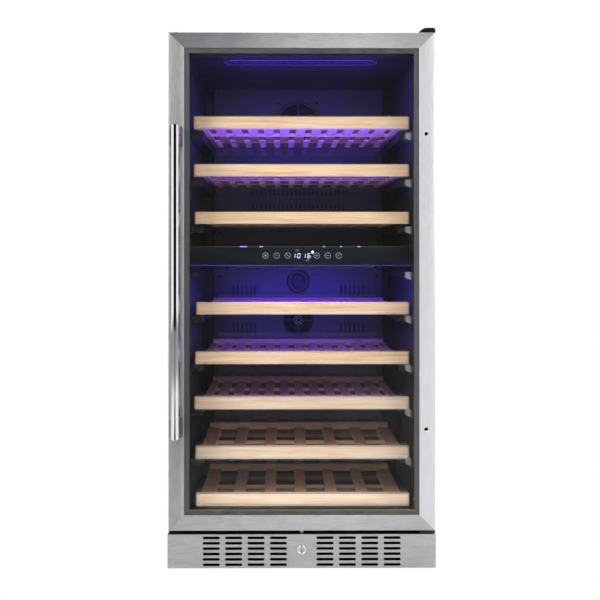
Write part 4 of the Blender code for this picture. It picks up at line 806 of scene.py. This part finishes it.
def make_lock(lock, low, high):
    """Chromed ring and barrel, a core with a keyway, and the cam that lifts the bolt."""
    rim, core = LOCK_RIM, LOCK_CORE
    depth = high.y - lock.y
    ring = [(rim - 0.2 * MM, 0.05 * MM), (rim, 0.4 * MM), (rim, 1.2 * MM),
            (rim - 0.7 * MM, 1.9 * MM), (core + 0.9 * MM, 1.9 * MM),
            (core + 0.1 * MM, 1.3 * MM), (core + 0.1 * MM, 0.05 * MM)]
    barrel = [(7.7 * MM, 0), (7.7 * MM, 3 * MM - depth), (0, 3 * MM - depth)]
    turned("lock_ring", [((lock.x, lock.y, lock.z), "-Y", ring + [ring[0]]),
                         ((lock.x, lock.y, lock.z), "-Y", [(0, -0.02 * MM)] + barrel)],
           "chrome", 48, body="lock_barrel", instead_of=("lock_barrel",))
    key = [(u + lock.x, v + lock.z) for u, v in
           rounded_box(-0.8 * MM, -3.8 * MM, 0.8 * MM, 1 * MM, 0.3 * MM, 2)]
    disc = [(u + lock.x, v + lock.z) for u, v in arc((0, 0), core, 0, 350, 35)]
    face = flat_mesh("lock_core", [disc, key], "XZ", lock.y - 1.4 * MM, lock.y - 0.1 * MM)
    piece("lock_core", face, "zinc", "lock_barrel")
    boards("lock_keyway", [((lock.x - 2 * MM, lock.y - 0.6 * MM, lock.z - 4.4 * MM),
                            (lock.x + 2 * MM, lock.y - 0.05 * MM, lock.z + 2.4 * MM)),
                           ((lock.x - 1.6 * MM, lock.y - 2 * MM, lock.z + core + 0.6 * MM),
                            (lock.x + 1.6 * MM, lock.y - 0.3 * MM, lock.z + rim + 0.1 * MM))],
           "hollow_shade", body="lock_barrel")
    boards("lock_cam", [((lock.x, high.y - 3 * MM, lock.z - 3 * MM),
                         (high.x, high.y, lock.z + 3 * MM))],
           "zinc", body="lock_barrel", edge=0.5 * MM)


# ---- Cabinet and hinges ------------------------------------------------------------------------
def make_cabinet():
    softened("outer_shell", "cabinet_shell", 0.5 * MM, "shell")
    softened("back_panel", "rear_panel", 0.2 * MM, "galvanised")
    softened("base_pan", "bottom_pan", 0.3 * MM, "galvanised")
    softened("inner_liner", "liner", 0.9 * MM, "liner")
    softened("zone_divider", "divider", 0.9 * MM, "liner")
    softened("lower_hinge", "bottom_hinge", 0.4 * MM, "shell")
    softened("compressor", "compressor_can", 0.5 * MM, "enamel")
    softened("cable_gland", "mains_gland", 0.4 * MM, "nylon")
    refinish("foam", "foam_insulation")
    refinish("fins", "condenser")
    refinish("black_anodised", "upper_evaporator", "lower_evaporator")
    low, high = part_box("back_panel")
    margin, end, upright, across = 9 * MM, 12 * MM, 9, 5
    places = []
    for i in range(upright):
        z = low.z + end + (high.z - low.z - 2 * end) * i / (upright - 1)
        places += [(low.x + margin, z), (high.x - margin, z)]
    for i in range(1, across + 1):
        x = low.x + (high.x - low.x) * i / (across + 1)
        places += [(x, low.z + margin), (x, high.z - margin)]
    turned("rear_screws", [((x, high.y, z), "Y", screw_profile(3.6 * MM)) for x, z in places],
           "zinc", 14)


def screw_profile(radius):
    """Pan head with a dimple for the driver."""
    return [(radius, 0), (radius, radius * 0.2), (radius * 0.75, radius * 0.5),
            (radius * 0.3, radius * 0.58), (radius * 0.2, radius * 0.25), (0, radius * 0.25)]


def make_top_hinge():
    """Cover that slopes off to the left, its pin, and the plug in the door's other top corner."""
    low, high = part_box("upper_hinge")
    cabinet_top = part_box("outer_shell")[1].z
    base = cabinet_top + 0.3 * MM
    pin_x, pin_y = frame["joints"][0]["pos_m"][:2]
    left, right, top = low.x, high.x, high.z
    bend = 5.5 * MM
    round_top = arc((right - bend, top - bend), bend, 0, 90, 8)
    slope = [(left + 15 * MM, top - 0.1 * MM), (left + 10.5 * MM, top - 1.6 * MM),
             (left + 6 * MM, top - 4.6 * MM), (left + 1.6 * MM, top - 8.2 * MM)]
    outline = [(left, base), (right, base)] + round_top + slope + [(left, top - 9.6 * MM)]
    cap = flat_mesh("hinge_cover", [outline], "XZ", low.y, high.y)
    piece("hinge_cover", cap, "dark_cap", instead_of=("upper_hinge",), edge=0.7 * MM)
    turned("hinge_pin", [((pin_x, pin_y, low.z), "Z", rod(4 * MM, base - low.z + 1 * MM,
                                                          0.5 * MM))], "zinc", 32)
    boards("door_corner_plug", [((DOOR_LOW.x + 11 * MM, FACE + 8 * MM, DOOR_HIGH.z - 2 * MM),
                                 (DOOR_LOW.x + 20 * MM, FACE + 22 * MM, DOOR_HIGH.z + 2.2 * MM))],
           "nylon", body="door", edge=0.8 * MM)


def make_feet():
    """Nylon discs on threaded studs, each with a hexagon nut."""
    for node in ("foot_front_left", "foot_front_right", "foot_rear_left", "foot_rear_right"):
        low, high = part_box(node)
        middle = (low + high) / 2
        foot = Vector((middle.x, middle.y, 0))
        rim = (high.x - low.x) / 2
        disc = [(0, 0), (rim - 1.5 * MM, 0), (rim, 1.2 * MM), (rim, 4.5 * MM),
                (rim - 1 * MM, 5.6 * MM), (rim * 0.62, 7 * MM), (rim * 0.5, 8 * MM), (0, 8 * MM)]
        turned(node + "_disc", [(foot, "Z", disc)], "nylon", 40, body=node,
               instead_of=(node,))
        nut = [(0, 8 * MM), (6.6 * MM, 8 * MM), (7.4 * MM, 8.8 * MM), (7.4 * MM, 13 * MM),
               (6.6 * MM, 13.8 * MM), (0, 13.8 * MM)]
        root, crest, lead = 3.3 * MM, 3.95 * MM, 1.8 * MM
        thread = [(0, 8 * MM)]
        for i in range(17):
            z = 8.2 * MM + i * 1.8 * MM
            thread += [(root, z), (crest, z + lead / 2)]
        thread += [(root, high.z), (0, high.z)]
        turned(node + "_nut", [(foot, "Z", nut)], "zinc", 6, body=node)
        turned(node + "_stud", [(foot, "Z", thread)], "zinc", 20, body=node)


# ---- Racks and runners -------------------------------------------------------------------------
RAIL_HEIGHT, RAIL_DEPTH = 27 * MM, 20 * MM
RAIL_RIGHT = 246.8 * MM
# Height of the deck's top and of the rear board's top in each rack, above the rail's foot.
DECK_TOP = [height * MM for height in (9, 9, 9, 10, 10, 10, 19, 19)]
REAR_TOP = [height * MM for height in (21, 21, 21, 20, 21, 22, 32, 32)]
DECK_THICKNESS = 5.5 * MM
RACK_HALF = 232 * MM
REAR_BOARD = 14 * MM
# Left end of each front rail: they are cut to slightly different lengths.
RAIL_LEFT = [-side * MM for side in (245.6, 245.3, 243.5, 240.3, 242.5, 244.5, 241.8, 240.3)]
RUNNER_DROP, RUNNER_HEIGHT = 3 * MM, 20 * MM


def slat_edges(short):
    """(left, right) of each slat, between openings of one pitch."""
    count, width, pitch = (6, 45 * MM, 71.5 * MM) if short else (12, 15.5 * MM, 37.8 * MM)
    edges = [-RACK_HALF]
    for i in range(count):
        x = (i - (count - 1) / 2) * pitch
        edges += [x - width / 2, x + width / 2]
    edges.append(RACK_HALF)
    return list(zip(edges[::2], edges[1::2]))


def make_rack(index):
    """Front rail, slats, side boards, fillets between the slats, battens under them and the rear.

    A full rack takes bottles across its whole depth, a short one stands over the compressor's step.
    """
    node = f"shelf_{index}"
    short = index > 6
    low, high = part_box(node)
    base = high.z - RAIL_HEIGHT - 5 * MM
    rail_back = low.y + RAIL_DEPTH
    back = high.y
    front_end, rear_end = rail_back + 0.1 * MM, back - REAR_BOARD - 0.1 * MM
    outline = rounded_box(RAIL_LEFT[index - 1], low.y, RAIL_RIGHT, rail_back, 4.5 * MM, 7)
    rail = flat_mesh(node + "_rail", [outline], "XY", base, base + RAIL_HEIGHT)
    piece(node + "_rail", rail, "beech_rail_pale" if index > 5 else "beech_rail",
          node, (node,), 1.4 * MM)

    edges = slat_edges(short)
    top = base + DECK_TOP[index - 1]
    under = top - DECK_THICKNESS
    slats = [((x0, front_end, under), (x1, rear_end, top)) for x0, x1 in edges[1:-1]]
    boards(node + "_slats", slats, "beech_slat", body=node, edge=0.9 * MM)
    inner = edges[-1][0]
    for side, word in SIDES:
        front_x = -RAIL_LEFT[index - 1] if side < 0 else RAIL_RIGHT
        outline = [(side * x, y) for x, y in (
            (inner, front_end), (front_x - 1.5 * MM, front_end), (RACK_HALF, rail_back + 24 * MM),
            (RACK_HALF, rear_end), (inner, rear_end))]
        name = f"{node}_side_board_{word}"
        mesh = flat_mesh(name, [outline], "XY", base + 0.3 * MM, top)
        piece(name, mesh, "beech_slat", node, edge=0.9 * MM)

    reach = back - rail_back
    fillets, battens = [], []
    for share in (0.37,) if short else (1 / 3, 2 / 3):
        y = rail_back + reach * share
        for (_, x0), (x1, _) in zip(edges, edges[1:]):
            fillets.append(((x0 + 0.1 * MM, y - 5 * MM, under + 0.5 * MM),
                            (x1 - 0.1 * MM, y + 5 * MM, top - 1.5 * MM)))
        battens.append(((0.5 * MM - inner, y - 4.5 * MM, under - 3.3 * MM),
                        (inner - 0.5 * MM, y + 4.5 * MM, under - 0.1 * MM)))
    boards(node + "_fillets", fillets, "beech_bar", body=node, edge=0.6 * MM)
    boards(node + "_battens", battens, "beech_bar", body=node, edge=0.4 * MM)
    make_rear_bar(node, short, under, top, back, base + REAR_TOP[index - 1])
    if index < 8:
        make_slides(node, base, back)


def make_rear_bar(node, short, under, deck, back, crown):
    """Board across the rear end; a full rack's has a low wave ahead of it for the bottles."""
    half = RACK_HALF - 2 * MM
    boards(node + "_rear_bar", [((-half, back - REAR_BOARD, under), (half, back, crown))],
           "beech_bar", body=node, edge=1.0 * MM)
    if short:
        return
    low, crest = deck + 0.1 * MM, (crown - deck) * 0.55
    pitch, steps = 71 * MM, 96
    outline = [(half, low), (-half, low)]
    for i in range(steps + 1):
        x = -half + 2 * half * i / steps
        wave = 0.5 + 0.5 * math.cos(math.tau * x / pitch)
        outline.append((x, low + 1 * MM + crest * wave ** 1.4))
    cradle = flat_mesh(node + "_cradle", [outline], "XZ", back - 22 * MM,
                       back - REAR_BOARD - 0.1 * MM)
    piece(node + "_cradle", cradle, "beech_bar", node, edge=0.6 * MM)


def make_slides(node, base, back):
    """Black slide rails under the rack's sides, with a clip at the front of each."""
    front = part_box(node.replace("shelf", "runner") + "_right")[0].y
    top = base - RUNNER_DROP
    slides, clips = [], []

    def add(row, side, x0, x1, y0, y1, z0, z1):
        ends = sorted((side * (RACK_HALF + x0), side * (RACK_HALF + x1)))
        row.append(((ends[0], y0, z0), (ends[1], y1, z1)))

    for side in (-1, 1):
        start, stop = front + 1 * MM, back - 4 * MM
        add(slides, side, -6 * MM, -0.6 * MM, start, stop, top - 18 * MM, base - 0.2 * MM)
        add(slides, side, -0.5 * MM, 11 * MM, start, stop, top - 17 * MM, top - 3 * MM)
        for drop in (1.5 * MM, 8 * MM, 14.5 * MM):
            add(clips, side, -4 * MM, -2.2 * MM, front - 3 * MM, front + 2 * MM,
                top - drop - 3.5 * MM, top - drop)
        add(clips, side, -2.2 * MM, 7 * MM, front - 2 * MM, front + 0.9 * MM, top - 17 * MM,
            top - 2.5 * MM)
    boards(node + "_slides", slides, "nylon", body=node, edge=0.6 * MM)
    boards(node + "_clips", clips, "nylon", body=node, edge=0.5 * MM)


def runner_mesh(name, side, top, front, back):
    """Pressed channel on the wall whose inner lower edge slants up."""
    wall, lip = 253.6 * MM, 241.4 * MM
    low = top - RUNNER_HEIGHT
    outline = [(lip, top - 2 * MM), (wall, top - 2 * MM), (wall, low), (lip + 8 * MM, low + 1 * MM),
               (lip, low + 5.5 * MM)]
    return flat_mesh(name, [[(side * x, z) for x, z in outline]], "XZ", front, back)


def make_runner(name, side, top, front, back, instead_of=()):
    """A channel and the end that faces the front; the end's zinc is painted brighter on the right
    for light and darker on the left for shade.
    """
    end = 1.2 * MM
    piece(name + "_channel", runner_mesh(name, side, top, front + end, back), "dark_zinc",
          instead_of=instead_of, edge=0.5 * MM)
    piece(name + "_end", runner_mesh(name, side, top, front, front + end - 0.1 * MM),
          "dark_zinc" if side < 0 else "pale_zinc", edge=0.3 * MM)


def make_runners():
    """A pair for each of racks 1 to 7 and a spare pair under the divider."""
    for index in range(1, 8):
        for side, word in SIDES:
            node = f"runner_{index}_{word}"
            low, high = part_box(node)
            make_runner(node, side, high.z, low.y, high.y, (node,))
    low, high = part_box("runner_4_left")
    spare_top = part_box("zone_divider")[0].z - 13 * MM
    for side, word in SIDES:
        make_runner("spare_runner_" + word, side, spare_top, low.y, high.y)


# ---- Ducts, fans and filter --------------------------------------------------------------------
FAN_GUARDS = (("upper_fan", 59 * MM, 6), ("lower_fan", 40 * MM, 4))
HUB_SHARE = 0.30
# Screws of the ducts and the liner: (x, z) in millimetres.
DUCT_SCREWS = [(-52.6, 1109), (51, 1110.6), (217, 1137), (-217, 1137), (-214, 760), (214, 760),
               (-40, 550), (40, 550), (-214, 640), (214, 640), (-214, 350), (214, 350)]


def spokes(centre, angles, inner, outer):
    """Lines that run out from a ring round a centre, at angles in degrees."""
    lines = []
    for angle in angles:
        out = Vector((math.cos(math.radians(angle)), 0, math.sin(math.radians(angle))))
        lines.append([tuple(centre + out * inner), tuple(centre + out * outer)])
    return lines


def make_ducts():
    """Duct covers with their vents, wire guards over the fans, screws and the filter cap."""
    softened("upper_air_duct", "upper_duct_cover", 0.4 * MM, "duct")
    softened("lower_air_duct", "lower_duct_cover", 0.4 * MM, "duct")
    refinish("nylon", "upper_fan", "lower_fan", "condenser_fan")
    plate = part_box("upper_air_duct")[0].y
    for node, radius, rings in FAN_GUARDS:
        low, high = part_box(node)
        centre = Vector((0, plate - 1.6 * MM, (low.z + high.z) / 2))
        hub = radius * HUB_SHARE
        lines = [ring_line(centre, hub + (radius - hub) * i / (rings - 1)) for i in range(rings)]
        lines += spokes(centre, (45, 135, 225, 315), hub * 0.5, radius)
        strokes(node + "_guard", lines, 1.8 * MM, "dark_cap")
        hub_ring = [(hub * 0.95, 0), (hub * 0.95, 1.4 * MM), (hub * 0.72, 1.9 * MM),
                    (hub * 0.66, 0.9 * MM), (hub * 0.4, 0.9 * MM), (hub * 0.34, 1.6 * MM),
                    (0, 1.6 * MM)]
        turned(node + "_guard_hub", [((0, plate - 0.1 * MM, centre.z), "-Y", hub_ring)],
               "dark_cap", 40)
        if node == "lower_fan":
            middle = centre - Vector((0, 1.2 * MM, 0))
            inner, outer = hub * 0.4, hub * 0.92
            ribs = [ring_line(middle, outer), ring_line(middle, inner)]
            ribs += spokes(middle, range(0, 360, 60), inner, outer)
            strokes(node + "_hub_ribs", ribs, 1.5 * MM, "zinc")
    turned("duct_screws", [((x * MM, plate, z * MM), "-Y", screw_profile(3 * MM))
                           for x, z in DUCT_SCREWS], "dark_cap", 16)
    low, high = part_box("charcoal_filter")
    middle = (low + high) / 2
    rim = (high.x - low.x) / 2
    neck = 27 * MM
    cap = [(0, 0.6 * MM), (12 * MM, 0.6 * MM), (14 * MM, 2 * MM), (16 * MM, 2.6 * MM),
           (18 * MM, 1.2 * MM), (rim - 5 * MM, 1.2 * MM), (rim - 3 * MM, 3 * MM),
           (rim - 1 * MM, 3 * MM), (rim, 2 * MM), (rim, 0.2 * MM), (neck, 0.2 * MM),
           (neck, plate - high.y), (0, plate - high.y)]
    turned("filter_cap", [((0, plate, middle.z), "-Y", cap)], "charcoal", 64,
           body="charcoal_filter", instead_of=("charcoal_filter",))
    strokes("filter_seams", [ring_line((0, plate - 3.2 * MM, middle.z), rim - 2 * MM),
                             ring_line((0, plate - 1.4 * MM, middle.z), 18.5 * MM)],
            1.8 * MM, "dark_cap", body="charcoal_filter")
    boards("filter_grip", [((-12 * MM, plate - 4.4 * MM, middle.z - 1.8 * MM),
                            (12 * MM, plate - 0.7 * MM, middle.z + 1.8 * MM))], "charcoal",
           body="charcoal_filter", edge=0.8 * MM)


# ---- Control panel and lamps -------------------------------------------------------------------
DIGIT_SEGMENTS = {"0": "abcdef", "1": "bc", "6": "acdefg"}
# The panel's signs in millimetres: each button's place along it and the strokes in its ring.
BUTTON_RING = 6.4 * MM
BUTTONS = (
    (-81.3, ([(-3, 0), (3, 0)], [(-1.5, -2.6), (1.5, 2.6)], [(-1.5, 2.6), (1.5, -2.6)])),
    (-56, ([(0, 0), (0, 3)], [(0, 0), (2.2, -1.2)])),
    (-30.8, ([(-3.4, 3.4), (3.4, -3.4)],)),
    (34.8, ([(-3, 0), (3, 0)], [(0, -3), (0, 3)])),
    (60.2, ([(-3, 0), (3, 0)],)),
    (85, ([(-2.4, -2.4), (2.4, 2.4)], [(-2.4, 0.6), (-0.6, 2.4)])),
)
FIGURES = (("1", -20.6), ("0", -9.4), ("1", 2.8), ("6", 14.0))
ZONE_MARKS = ((-9.7, 12), (14.1, -11))
# Painted reflections of the lamps' diodes on the panel's top edge, drawn as glowing bars: middle
# and half width of each gleam.
DIODE_GLINTS_PAINTED = ((-131.3, 8), (-91.5, 4.5), (51.6, 2.5), (90.2, 2), (131.1, 3))


def digit_lines(sign, x, z, y, width=5.8 * MM, height=9.8 * MM, slant=0.12):
    """Strokes of one slanted seven-segment figure whose lower left corner is at x, z."""
    gap = 0.5 * MM
    half = height / 2
    ends = {"a": ((gap, height), (width - gap, height)),
            "b": ((width, height - gap), (width, half + gap)),
            "c": ((width, half - gap), (width, gap)), "d": ((gap, 0), (width - gap, 0)),
            "e": ((0, gap), (0, half - gap)), "f": ((0, half + gap), (0, height - gap)),
            "g": ((gap, half), (width - gap, half))}
    return [[(x + u + slant * v, y, z + v) for u, v in ends[key]] for key in DIGIT_SEGMENTS[sign]]


def make_panel():
    softened("control_panel", "panel_glass", 0.5 * MM, "panel")
    low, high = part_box("control_panel")
    y = low.y - 0.15 * MM
    z = (low.z + high.z) / 2 + 1 * MM
    lines = []
    for x, symbol in BUTTONS:
        lines.append(ring_line((x * MM, y, z), BUTTON_RING))
        for stroke in symbol:
            lines.append([(x * MM + u * MM, y, z + v * MM) for u, v in stroke])
    strokes("panel_buttons", lines, 0.7 * MM, "ink")
    ovals = []
    for x, dz in ZONE_MARKS:
        ovals.append([(x * MM + 3.4 * MM * math.cos(math.tau * i / 24), y,
                       z + dz * MM + 1.1 * MM * math.sin(math.tau * i / 24)) for i in range(25)])
    strokes("panel_zone_marks", ovals, 0.45 * MM, "ink")
    figures = []
    for sign, x in FIGURES:
        figures += digit_lines(sign, x * MM, z - 5.4 * MM, y)
    strokes("panel_digits", figures, 0.95 * MM, "digits")
    edge = low.y - 0.1 * MM
    boards("panel_top_edge", [((low.x + 1 * MM, edge, high.z - 1.3 * MM),
                               (high.x - 1 * MM, low.y + 0.3 * MM, high.z - 0.2 * MM))], "band")
    boards("panel_lit_edge", [((low.x + 1 * MM, edge, low.z + 0.2 * MM),
                               (high.x - 1 * MM, low.y + 0.3 * MM, low.z + 1.0 * MM))],
           "lit_edge")
    boards("panel_edge_glints_painted", [(((x - half) * MM, edge - 0.15 * MM, high.z - 1.5 * MM),
                                  ((x + half) * MM, edge + 0.05 * MM, high.z - 0.1 * MM))
                                 for x, half in DIODE_GLINTS_PAINTED], "painted_glint")
    turned("panel_indicator", [((25.9 * MM, low.y, z + 8 * MM), "-Y",
                                [(2.1 * MM, 0), (1.9 * MM, 0.3 * MM), (1.0 * MM, 0.6 * MM),
                                 (0, 0.7 * MM)])], "indicator", 24)


def make_lamp(node, name, rim_finish):
    """A flat lens with round ends, its rim, and a zigzag row of diodes."""
    low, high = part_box(node)
    inset = 3 * MM
    outline = rounded_box(low.x + inset, low.y + inset, high.x - inset, high.y - inset, 16 * MM, 8)
    lens = flat_mesh(name + "_lens", [outline], "XY", low.z + 1 * MM, high.z)
    piece(name + "_lens", lens, "lens", instead_of=(node,), edge=1.2 * MM)
    z = low.z + 1.4 * MM
    rim = rounded_box(low.x + 1.5 * MM, low.y + 1.5 * MM, high.x - 1.5 * MM, high.y - 1.5 * MM,
                      24 * MM, 8)
    rim.append(rim[0])
    strokes(name + "_rim", [[(x, y, z) for x, y in rim]], 1.3 * MM, rim_finish)
    middle = (low.y + high.y) / 2
    margin, count = 26 * MM, 18
    dome = [(0, -0.5 * MM), (1.6 * MM, -0.3 * MM), (1.8 * MM, 0.2 * MM), (0, 0.2 * MM)]
    leds = []
    for i in range(count):
        x = low.x + margin + (high.x - low.x - 2 * margin) * i / (count - 1)
        y = middle + (4 if i % 3 else -7) * MM
        leds.append(((x, y, low.z + 1.3 * MM), "Z", dome))
    turned(name + "_diodes", leds, "lamp_led", 12)


# ---- Studio ------------------------------------------------------------------------------------
def make_world():
    """A white tent with a dark gap in front and a dark right rear, for stripes on the chrome."""
    world = bpy.data.worlds.new("tent")
    bpy.context.scene.world = world
    world.use_nodes = True
    tree = world.node_tree
    coords = add_node(tree, "TexCoord")
    split = add_node(tree, "SeparateXYZ", {0: coords.outputs["Generated"]})
    depth = add_node(tree, "Math", {0: split.outputs["Y"], 1: -1.0}, operation="MULTIPLY")
    angle = add_node(tree, "Math", {0: split.outputs["X"], 1: depth.outputs[0]},
                     operation="ARCTAN2")
    turn = add_node(tree, "MapRange", {"Value": angle.outputs[0], "From Min": -math.pi,
                                       "From Max": math.pi})
    tent = add_node(tree, "ValToRGB", {"Fac": turn.outputs[0]},
                    stops=[(0.0, "#6C6C6E"), (0.19, "#48484A"), (0.21, "#F4F4F5"),
                           (0.405, "#FFFFFF"), (0.422, "#040404"), (0.578, "#040404"),
                           (0.595, "#FFFFFF"), (0.735, "#F4F4F5"), (0.755, "#2A2A2C"),
                           (1.0, "#4A4A4C")])
    rays = add_node(tree, "LightPath")
    seen = add_node(tree, "MixRGB", {"Fac": rays.outputs["Is Camera Ray"],
                                     "Color1": tent.outputs[0], "Color2": "#FFFFFF"})
    tree.links.new(seen.outputs[0], tree.nodes["Background"].inputs["Color"])
    tree.nodes["Background"].inputs["Strength"].default_value = 1.0


# Kickers for racks whose rails the door frame shades from the cards: (rack, watts).
KICKERS = ((2, 3), (7, 4.5), (8, 33))
LAMP_WATTS = (("upper_lamp", 1.8), ("lower_lamp", 3.5))
# Light that strays off the rear wall: (height, strength on the wall, strength upwards).
WALL_GLOWS = ((1.07, 0.0, 0.16), (1.012, 0.03, 0.0), (0.93, 0.13, 1.15), (0.83, 0.0, 0.36),
              (0.605, 0.13, 0.0), (0.50, 0.06, 0.12))
# The lamps catch the racks' decks and rear boards and the top edges of their rails: (rack,
# strength on the deck, strength on the rail).
DECK_GLOWS = ((1, 2.0, 0.3), (2, 0.25, 0.1), (3, 0, 0.12), (5, 0.6, 0.12), (6, 0.05, 0.12))


def add_light(name, place, aim, size, energy, colour="#FFFFFF", size_y=None):
    """A rectangular card of light that is not itself seen, neither directly nor through glass."""
    data = bpy.data.lights.new(name, "AREA")
    data.shape = "RECTANGLE"
    data.size = size
    data.size_y = size_y or size
    data.energy = energy
    data.color = srgb(colour)[:3]
    light = bpy.data.objects.new(name, data)
    bpy.context.scene.collection.objects.link(light)
    light.location = place
    light.rotation_euler = (Vector(aim) - Vector(place)).to_track_quat("-Z", "Y").to_euler()
    light.visible_camera = light.visible_transmission = False
    return light


def light_only(light, *names):
    """A light that reaches nothing but the pieces named."""
    lit = bpy.data.collections.new(light.name + "_target")
    for name in names:
        lit.objects.link(bpy.data.objects[name])
    light.light_linking.receiver_collection = lit


def keep_dark(lights, label, *names):
    """Lights that reach everything but the pieces named."""
    dark = bpy.data.collections.new(label)
    for name in names:
        dark.objects.link(bpy.data.objects[name])
    for member in dark.collection_objects:
        member.light_linking.link_state = "EXCLUDE"
    for light in lights:
        light.light_linking.receiver_collection = dark


def make_lights():
    cards = [
        add_light("key_left", (-2.3, -2.3, 1.7), (0, -0.1, 0.6), 1.5, 34),
        add_light("fill_right", (2.3, -2.5, 1.3), (0, -0.1, 0.6), 1.5, 22),
        add_light("top_card", (0, -0.4, 2.9), (0, 0, 0), 3.0, 60),
        add_light("front_card", (0, -3.1, 0.9), (0, 0, 0.64), 3.4, 27),
        add_light("back_card", (0.9, 3.0, 1.5), (0, 0, 0.6), 2.6, 60),
    ]
    keep_dark(cards, "lit_by_the_tent_alone", "door_handle", "outer_pane", "inner_pane",
              "panel_glass")
    for rack, energy in KICKERS:
        rail = f"shelf_{rack}_rail"
        kicker = add_light(rail + "_kicker", (0, -2.3, 0.2), (0, -0.3, 0.12), 0.8, energy)
        light_only(kicker, rail)
    lamps = []
    for node, energy in LAMP_WATTS:
        low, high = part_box(node)
        middle = (low.y + high.y) / 2
        lamps.append(add_light(node + "_strip", (0, middle, low.z - 2 * MM),
                               (0, middle + 0.05, low.z - 0.5), 0.30, energy, VIOLET, 0.02))
    for height, wall, lift in WALL_GLOWS:
        if wall:
            lamps.append(add_light(f"wall_glow_{height}", (0, 0.14, height), (0, 0.25, height),
                                   0.36, wall, WALL_VIOLET, 0.02))
        if lift:
            lamps.append(add_light(f"rack_glow_{height}", (0, -0.10, height - 0.01),
                                   (0, -0.10, height + 0.2), 0.42, lift, VIOLET, 0.03))
    for rack, deck, rail in DECK_GLOWS:
        low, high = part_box(f"shelf_{rack}")
        top, rail_middle = high.z, low.y + RAIL_DEPTH / 2
        parts = ["rear_bar", "cradle", "fillets"] + (["slats"] if rack > 4 else [])
        if deck:
            glow = add_light(f"deck_glow_{rack}", (0, -0.08, top + 0.06), (0, 0.19, top - 0.02),
                             0.42, deck, VIOLET, 0.03)
            light_only(glow, *(f"shelf_{rack}_{part}" for part in parts))
        glow = add_light(f"rail_glow_{rack}", (0, rail_middle, top + 0.06),
                         (0, rail_middle, top), 0.36, rail, VIOLET, 0.015)
        light_only(glow, f"shelf_{rack}_rail")
    keep_dark(lamps, "not_reached_by_the_lamps", "floor", "door_top_rail", "door_bottom_rail",
              "door_left_stile", "door_right_stile", "plinth_face")


def make_stage():
    """White paper floor, a black flag beside the camera's line, and the camera."""
    def fill(work):
        bmesh.ops.create_grid(work, x_segments=1, y_segments=1, size=7)
    floor = bpy.data.objects.new("floor", mesh_of("floor", fill))
    bpy.context.scene.collection.objects.link(floor)
    # Matt paper roll, lit to pure white in view; it throws little light back on the object.
    paper = surface("paper_roll", ("#D8D8D8", "#DEDEDE"), (0.9, 0.95), (400, 400, 400),
                    Specular_IOR_Level=0.0)
    tree = paper.node_tree
    rays = add_node(tree, "LightPath")
    lit = add_node(tree, "Emission", {"Color": "#FFFFFF", "Strength": 1.0})
    seen = add_node(tree, "MixShader", {0: rays.outputs["Is Camera Ray"],
                                        1: tree.nodes["Principled BSDF"].outputs[0],
                                        2: lit.outputs[0]})
    tree.links.new(seen.outputs[0], tree.nodes["Material Output"].inputs["Surface"])
    floor.data.materials.append(paper)

    def flag(work):
        bmesh.ops.create_grid(work, x_segments=1, y_segments=1, size=0.5,
                              matrix=Matrix.Translation((-0.30, -4.2, 2 * MM))
                              @ Matrix.Diagonal((0.95, 5.4, 1, 1)))
    strip = bpy.data.objects.new("black_flag", mesh_of("black_flag", flag))
    bpy.context.scene.collection.objects.link(strip)
    strip.visible_camera = False
    # Duvetyne: napped black cotton that gives the handle its dark stripe.
    strip.data.materials.append(surface("black_duvetyne", ("#050505", "#101010"), (0.9, 1.0),
                                        (3, 3, 3), Specular_IOR_Level=0.0))

    # A 58 mm lens 2.1 m ahead of the door, a little above the cooler's middle.
    camera_data = bpy.data.cameras.new("camera")
    camera = bpy.data.objects.new("camera", camera_data)
    bpy.context.scene.collection.objects.link(camera)
    camera.location = (-0.0425, -2.4258, 0.6996)
    camera.rotation_euler = (math.radians(90), 0, -0.0069)
    camera_data.lens = 58.46
    camera_data.shift_x = 0.0178
    camera_data.shift_y = -0.076
    bpy.context.scene.camera = camera
    bpy.context.scene.view_settings.view_transform = "Standard"


make_stage()
make_world()
make_cabinet()
make_door()
make_handle()
make_plinth()
make_top_hinge()
make_feet()
for rack in range(1, 9):
    make_rack(rack)
make_runners()
make_ducts()
make_panel()
make_lamp("upper_lamp", "ceiling_lamp", "lamp_rim")
make_lamp("lower_lamp", "divider_lamp", "lens")
make_lights()
